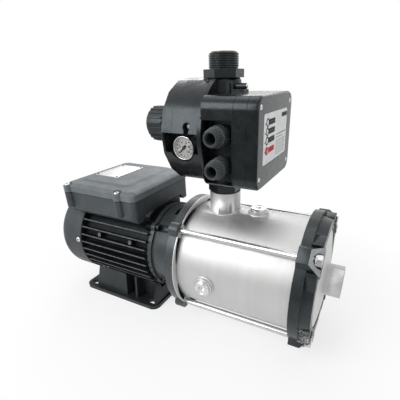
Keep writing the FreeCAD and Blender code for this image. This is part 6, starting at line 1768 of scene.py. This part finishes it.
@dataclass
class Label(SubAssembly):
    """Printed panel on the controller's lid with its lamps and button.

    Attributes:
        face_x: Place of the label's seat.
        thickness: Thickness of the label.
        middle_z: Height of the label's middle.
        half_size: Half width and half height of the label.
        corner: Radius of its corners.
        lamp_y: Place of the lamps and the button across the lid.
        lamp_zs: Heights of the lamps.
        button_z: Height of the button.
        opening_radius: Radius of the label's opening round the button.
        bar_y: Place of the marks' bars across the lid.
        bar_half: Half length and half height of the bars.
        slit_y: Place of the rules in the bars.
        slit_half: Half length and half height of those rules.
        ring_radii: Outer and inner radius of the rings round the lamps.
        title: Half length, half height, place across and height of the bar above the table.
        heads: The same of each rule at the table's head.
        columns: Place across and half length of the rules in each column of the table.
        rows: Heights of the table's rows.
        rule_half: Half height of the table's rules.
        print_lift: How far printed shapes stand off the label.
        rule_lift: How far the table's rules do.
        top_lift: How far shapes printed over others do.
    """

    face_x: float = 103.4
    thickness: float = 0.45
    middle_z: float = 176.5
    half_size: Pair = (42.6, 27.1)
    corner: float = 3.0
    lamp_y: float = -31.0
    lamp_zs: tuple[float, ...] = (194.0, 184.5, 175.0)
    button_z: float = 164.0
    opening_radius: float = 4.15
    bar_y: float = -16.0
    bar_half: Pair = (10.6, 3.0)
    slit_y: float = -15.0
    slit_half: Pair = (6.4, 0.35)
    ring_radii: Pair = (4.7, 2.9)
    title: tuple[float, ...] = (10.8, 2.4, 30.2, 197.2)
    heads: tuple[tuple[float, ...], ...] = ((18.6, 0.5, 19.5, 177.0), (13.0, 0.35, 14.0, 173.4))
    columns: tuple[Pair, ...] = ((5.5, 4.2), (17.0, 5.0), (30.0, 5.6))
    rows: tuple[float, ...] = (169.2, 166.2, 163.2, 160.2, 157.2, 154.2)
    rule_half: float = 0.35
    print_lift: float = 0.08
    rule_lift: float = 0.06
    top_lift: float = 0.12

    def opened(self, piece: Thing) -> Thing:
        """Clear a printed piece away round the button."""
        spot = Vector((self.face_x - 1.0, self.lamp_y, self.button_z))
        return carved(piece, [cutter(ring_outline(self.opening_radius, 48), spot, Way.SUCTION.vector, 3.0)])

    def flat(self, outline: Outline, y: float, z: float, lift: float, finish: Finish) -> Thing:
        """A thin printed shape on the label.

        Args:
            outline: Points across and up, in millimetres.
            y: Place of its zero across the lid.
            z: Height of its zero.
            lift: How far it stands off the label.
            finish: Its finish.

        Returns:
            The shape.
        """
        sunk = 0.05
        spot = Vector((self.face_x + self.thickness - sunk, y, z))
        return dress(prism("print", outline, spot, FRONT, sunk + lift), finish)

    def bar(self, half_u: float, half_v: float, y: float, z: float, lift: float, finish: Finish) -> Thing:
        """A bar with slightly round corners, of which half the length and height are given."""
        return self.flat(round_rect(half_u, half_v, min(half_u, half_v) * 0.3, 3), y, z, lift, finish)

    def mark(self, z: float, finish: Finish, opened: bool = False) -> list[Thing]:
        """A key-shaped mark: a ring round a lamp or the button's opening, and a bar beside it.

        Args:
            z: Height of the mark.
            finish: Finish of its ring and bar.
            opened: Whether it is cleared away round the button.

        Returns:
            The mark's shapes.
        """
        ring, middle = self.ring_radii
        bar = self.bar(*self.bar_half, self.bar_y, z, self.print_lift, finish)
        disc = self.flat(ring_outline(ring, 32), self.lamp_y, z, self.print_lift, finish)
        tail = self.flat([(-2.2, -1.0), (2.8, 0.4), (2.8, 1.3), (-2.2, -0.1)], self.lamp_y - 6.4, z - 0.8,
                         self.print_lift, finish)
        slit = self.bar(*self.slit_half, self.slit_y, z, self.top_lift, Finish.GREY)
        if opened:
            return [bar, self.opened(disc), self.opened(tail), slit]
        inner = self.flat(ring_outline(middle, 28), self.lamp_y, z, self.top_lift, Finish.LABEL)
        return [bar, disc, inner, tail, slit]

    def build(self) -> None:
        """Build and dress the label, the lamps and the button."""
        seat = Vector((self.face_x, 0.0, self.middle_z))
        panel = prism("panel", round_rect(*self.half_size, self.corner), seat, FRONT, self.thickness)
        pieces = [self.opened(dress(rounded(panel, 0.12), Finish.LABEL))]
        for z in self.lamp_zs:
            pieces += self.mark(z, Finish.INK)
        pieces += self.mark(self.button_z, Finish.RED, True)
        pieces.append(self.bar(*self.title, self.print_lift, Finish.INK))
        pieces += [self.bar(*head, self.rule_lift, Finish.GREY) for head in self.heads]
        pieces += [self.bar(half, self.rule_half, y, z, self.rule_lift, Finish.GREY)
                   for z in self.rows for y, half in self.columns]
        settle(joined("controller_label", pieces))
        dome = [(-3.0, 0.0), (-3.0, 2.1), (0.35, 2.1), (0.7, 1.5), (0.85, 0.0)]
        lamps = [lathe("lamp", dome, Vector((self.face_x, self.lamp_y, z)), Way.SUCTION.vector, 24)
                 for z in self.lamp_zs]
        self.add(joined("lamp_lenses", lamps), Finish.LENS, "indicator_lenses")
        self.button()

    def button(self) -> None:
        """Red push button with a pale middle."""
        base = Vector((self.face_x, self.lamp_y, self.button_z))
        out = Way.SUCTION.vector
        rim = [(-5.0, 0.0), (-5.0, 3.9), (1.3, 3.9), (1.4, 2.4), (1.1, 2.0), (1.1, 0.0)]
        eye = [(0.6, 0.0), (0.6, 1.9), (1.25, 1.8), (1.35, 1.2), (1.35, 0.0)]
        parts = [dress(lathe("rim", rim, base, out, 40, 0.3), Finish.BUTTON),
                 dress(lathe("eye", eye, base, out, 28), Finish.PALE)]
        settle(smooth(joined("restart_button_dressed", parts)), "restart_button", rider=Rider.BUTTON)


@dataclass
class Gauge(SubAssembly):
    """Round pressure gauge in the controller's recess.

    Attributes:
        x: Place along the shaft.
        z: Height.
        back: Distance of the gauge's back from the shaft's plane.
        face: Distance of the bezel's front.
        dial: Distance of the dial's face.
        first: Angle of the scale's zero, in degrees.
        span: Angle that the scale covers, in degrees.
        numbers: What the dial says.
        number_radius: Radius that the numbers stand on.
        number_size: Height of the numbers.
        print_lift: How far the scale stands off the dial.
    """

    x: float = 13.0
    z: float = 165.7
    back: float = 46.0
    face: float = 58.0
    dial: float = 54.5
    first: float = 225.0
    span: float = 270.0
    numbers: tuple[str, ...] = ("0", "2", "4", "6", "8", "10")
    number_radius: float = 6.2
    number_size: float = 4.0
    print_lift: float = 0.05

    def build(self) -> None:
        """Build and dress the gauge."""
        base = Vector((self.x, 0.0, self.z))
        out = Way.NEAR.vector
        back, face, dial = self.back, self.face, self.dial
        floor = dial - 0.4
        case = [(back, 0.0), (back, 12.6), (back + 1.0, 13.0), (face - 4.4, 13.0), (face - 4.0, 14.0),
                (face - 1.0, 14.0), (face, 13.2), (face, 12.4), (face - 0.8, 11.98), (floor, 11.98),
                (floor, 0.0)]
        self.add(lathe("gauge_case_dressed", case, base, out, 72, 0.4, 2), Finish.GAUGE, "gauge_case")
        plate = lathe("dial", [(floor, 0.0), (floor, 11.9), (dial, 11.9), (dial, 0.0)], base, out, 72)
        pieces = [dress(plate, Finish.DIAL)]
        outer = 10.8
        axes = (Way.SUCTION.vector, Way.UP.vector, out)
        for name, inner, half, count in (("short_ticks", 9.4, 0.17, 31), ("long_ticks", 8.2, 0.4, 11)):
            mark = [(inner, -half), (outer, -half), (outer, half), (inner, half)]
            tick = prism("tick", mark, base + out * dial, axes, self.print_lift)
            turn = self.span / (count - 1)
            pieces.append(around(name, tick, Finish.INK, count, base, out, -self.first, turn))
        pieces.append(self.band(base, out))
        step = self.span / (len(self.numbers) - 1)
        pieces += [self.numeral(digit, base, self.first - k * step) for k, digit in enumerate(self.numbers)]
        settle(joined("gauge_dial", pieces))

    def band(self, base: Vector, out: Vector) -> Thing:
        """Red stretch at the scale's upper end.

        Args:
            base: The gauge's middle on the shaft's plane.
            out: Direction that the gauge faces.

        Returns:
            The stretch.
        """
        work = bmesh.new()
        steps, start, reach = 14, 20.0, 55.0
        rows = []
        for k in range(steps + 1):
            angle = math.radians(start - reach * k / steps)
            way = Vector((math.cos(angle), 0.0, math.sin(angle)))
            rows.append([work.verts.new(at(*(base + out * lift + way * radius)))
                         for radius in (7.4, 8.1) for lift in (self.dial, self.dial + self.print_lift)])
        for first, second in zip(rows, rows[1:]):
            for a, b in ((0, 1), (1, 3), (3, 2), (2, 0)):
                work.faces.new([first[a], first[b], second[b], second[a]])
        work.faces.new([rows[0][k] for k in (0, 2, 3, 1)])
        work.faces.new([rows[-1][k] for k in (0, 1, 3, 2)])
        return dress(sealed("red_band", work), Finish.RED)

    def numeral(self, digit: str, base: Vector, angle: float) -> Thing:
        """One number of the dial.

        Args:
            digit: The number.
            base: The gauge's middle on the shaft's plane.
            angle: Place on the scale in degrees.

        Returns:
            The number as a thin solid.
        """
        font = bpy.data.curves.new("numeral", "FONT")
        font.body = digit
        font.size = self.number_size * MM
        font.offset = 0.08 * MM
        font.align_x = "CENTER"
        font.align_y = "CENTER"
        font.extrude = 0.03 * MM
        font.resolution_u = 3
        text = placed("numeral", font)
        bpy.context.view_layer.update()
        mesh = bpy.data.meshes.new_from_object(text.evaluated_get(bpy.context.evaluated_depsgraph_get()))
        bpy.data.objects.remove(text)
        way = Vector((math.cos(math.radians(angle)), 0.0, math.sin(math.radians(angle))))
        spot = at(*(base + Way.NEAR.vector * (self.dial + 0.02) + way * self.number_radius))
        mesh.transform(Matrix.Translation(spot) @ Matrix.Rotation(math.radians(90.0), 4, "X"))
        return dress(placed("numeral", mesh), Finish.INK)


# Studio


@dataclass
class Lamp:
    """One soft area lamp.

    Attributes:
        name: Name of the lamp.
        place: Place in metres.
        power: Power in watts.
        size: Length of its sides in metres.
        target: Point in metres that it faces.
    """

    name: str
    place: Triple
    power: float
    size: Pair
    target: Triple = (0.13, 0.0, 0.15)

    def build(self) -> None:
        """Hang the lamp."""
        data = bpy.data.lights.new(self.name, "AREA")
        data.shape = "RECTANGLE"
        data.size, data.size_y = self.size
        data.energy = self.power
        lamp = placed(self.name, data)
        lamp.location = self.place
        lamp.visible_camera = False
        lamp.rotation_euler = (Vector(self.target) - Vector(self.place)).to_track_quat("-Z", "Y").to_euler()


@dataclass
class Studio:
    """Floor, surroundings, lamps and camera of the picture.

    Attributes:
        azimuth: Turn of the camera round the pump in degrees.
        elevation: Height of the camera in degrees.
        roll: Tilt of the camera in degrees.
        target: Place in millimetres that the camera's axis passes through.
        distance: Distance of the camera in millimetres.
        focal: Focal length in pixels of the picture.
        centre: Pixel that the camera's axis meets.
        side: Side of the picture in pixels.
        floor_reach: Half length of the floor in metres.
        floor_middle: Place in metres about which the floor's glow spreads.
        fade_radii: Distances in metres between which the floor turns into the white background.
        near_glow: Share of the glow in the floor near the pump.
        front_edge: Places across, in metres, between which the paper ends in front of the pump.
        dark_floor: Colour of the floor in front of the paper.
        room: Strength of the room's even light.
        dusk: How far a direction leans to the backdrop where the room turns from dark to white.
        dark_room: Brightness of the room behind the camera, as gloss shows it.
        lamps: The lamps.
    """

    azimuth: float = 27.4
    elevation: float = 24.5
    roll: float = -1.3
    target: Triple = (27.4, 0.0, 56.2)
    distance: float = 438.6
    focal: float = 308.6
    centre: Pair = (219.0, 218.4)
    side: float = 400.0
    floor_reach: float = 3.0
    floor_middle: Triple = (0.12, 0.0, 0.0)
    fade_radii: Pair = (0.22, 0.42)
    near_glow: float = 0.72
    front_edge: Pair = (-0.62, -0.42)
    dark_floor: Triple = (0.25, 0.25, 0.25)
    room: float = 0.4
    dusk: Pair = (-0.5, 0.35)
    dark_room: float = 0.6
    lamps: tuple[Lamp, ...] = (
        Lamp("key", (-0.36, -0.86, 0.80), 9.0, (0.75, 0.8)),
        Lamp("fill", (1.2, -0.5, 0.6), 3.2, (1.1, 1.1)),
        Lamp("top", (0.15, 0.2, 1.25), 2.5, (0.9, 0.6)),
        Lamp("back", (-0.4, 1.05, 0.85), 3.4, (0.9, 0.5)),
    )

    def camera(self) -> None:
        """Place the camera."""
        data = bpy.data.cameras.new("camera")
        data.lens = self.focal / self.side * data.sensor_width
        data.shift_x = (self.side / 2 - self.centre[0]) / self.side
        data.shift_y = (self.centre[1] - self.side / 2) / self.side
        data.clip_start = 0.01
        data.clip_end = 20.0
        spin, lift, tilt = (math.radians(angle) for angle in (self.azimuth, self.elevation, self.roll))
        back = Vector((math.sin(spin) * math.cos(lift), -math.cos(spin) * math.cos(lift), math.sin(lift)))
        right = (-back).cross(Way.UP.vector).normalized()
        up = right.cross(-back).normalized()
        right, up = (right * math.cos(tilt) + up * math.sin(tilt),
                     up * math.cos(tilt) - right * math.sin(tilt))
        camera = placed("camera", data)
        turn = Matrix((right, up, back)).transposed().to_4x4()
        camera.matrix_world = Matrix.Translation(at(*self.target) + back * self.distance * MM) @ turn
        bpy.context.scene.camera = camera

    def blended(self, tree: NodeTree, share: Socket, first: Socket, second: Socket,
                output: bpy.types.Node) -> None:
        """Show one shader or another on an output.

        Args:
            tree: The tree that they are in.
            share: How much of the second shader shows.
            first: The first shader.
            second: The second shader.
            output: The tree's output.
        """
        blend = tree.add("ShaderNodeMixShader", {0: share, 1: first, 2: second})
        tree.feed(output.inputs["Surface"], blend.outputs[0])

    def floor(self) -> None:
        """Lay a white floor that keeps the pump's shadow."""
        work = bmesh.new()
        reach, drop = self.floor_reach, 0.0002
        corners = ((-1, -1), (1, -1), (1, 1), (-1, 1))
        work.faces.new([work.verts.new((x * reach, y * reach, -drop)) for x, y in corners])
        sheet = sealed("studio_floor", work)
        box = Paintbox("studio_floor")
        paper = box.mixed(box.noise(3.0), (0.93, 0.93, 0.93), (0.95, 0.95, 0.95))
        across = box.add("ShaderNodeSeparateXYZ", {0: box.place}).outputs["Y"]
        front = box.span(across, self.front_edge)
        box.set(Base_Color=box.mixed(front, self.dark_floor, paper), Roughness=0.9, Specular_IOR_Level=0.0)
        glow = box.add("ShaderNodeEmission", {"Color": (1.0, 1.0, 1.0, 1.0)}).outputs[0]
        away = box.add("ShaderNodeVectorMath", {0: box.place, 1: self.floor_middle}, operation="DISTANCE")
        fade = box.span(away.outputs["Value"], self.fade_radii, (self.near_glow, 1.0))
        backdrop = box.rays("Is Camera Ray", "Is Glossy Ray", "Is Transmission Ray")
        seen = box.sums("MULTIPLY", backdrop, box.sums("MAXIMUM", box.rays("Is Camera Ray"), front))
        self.blended(box, box.sums("MULTIPLY", fade, seen), box.shader.outputs[0], glow, box.output)
        sheet.data.materials.append(box.material)

    def surroundings(self) -> None:
        """Light the pump from a pale room that is white behind it and darker behind the camera in gloss."""
        world = bpy.data.worlds.new("room")
        bpy.context.scene.world = world
        world.use_nodes = True
        tree = NodeTree(world.node_tree)
        tree.tree.nodes.clear()
        spin = math.radians(self.azimuth)
        backdrop_way = (-math.sin(spin), math.cos(spin), 0.35)
        direction = tree.add("ShaderNodeTexCoord").outputs["Generated"]
        facing = tree.add("ShaderNodeVectorMath", {0: direction, 1: backdrop_way}, operation="DOT_PRODUCT")
        ramp = tree.span(facing.outputs["Value"], self.dusk, (self.dark_room, 1.0),
                         interpolation_type="SMOOTHSTEP")
        white = (1.0, 1.0, 1.0, 1.0)
        strength = tree.sums("MAXIMUM", tree.rays("Is Camera Ray"), ramp)
        seen, lit = [tree.add("ShaderNodeBackground", {"Color": white, "Strength": value}).outputs[0]
                     for value in (strength, self.room)]
        backdrop = tree.rays("Is Camera Ray", "Is Glossy Ray", "Is Transmission Ray")
        self.blended(tree, backdrop, lit, seen, tree.add("ShaderNodeOutputWorld"))

    def build(self) -> None:
        """Set up the whole studio."""
        bpy.context.scene.view_settings.view_transform = "Standard"
        self.floor()
        self.surroundings()
        for lamp in self.lamps:
            lamp.build()
        self.camera()


def main() -> None:
    """Dress the pump and set up its picture."""
    logging.basicConfig(level=logging.INFO)
    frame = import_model()
    nodes = frame["nodes"]
    paint_nodes(nodes)
    Studio().build()
    for kind in (Motor, TerminalBox, Bracket, Barrel, Controller, Label, Gauge):
        LOG.info("building %s", kind.__name__)
        kind(nodes).build()


if __name__ == "__main__":
    main()
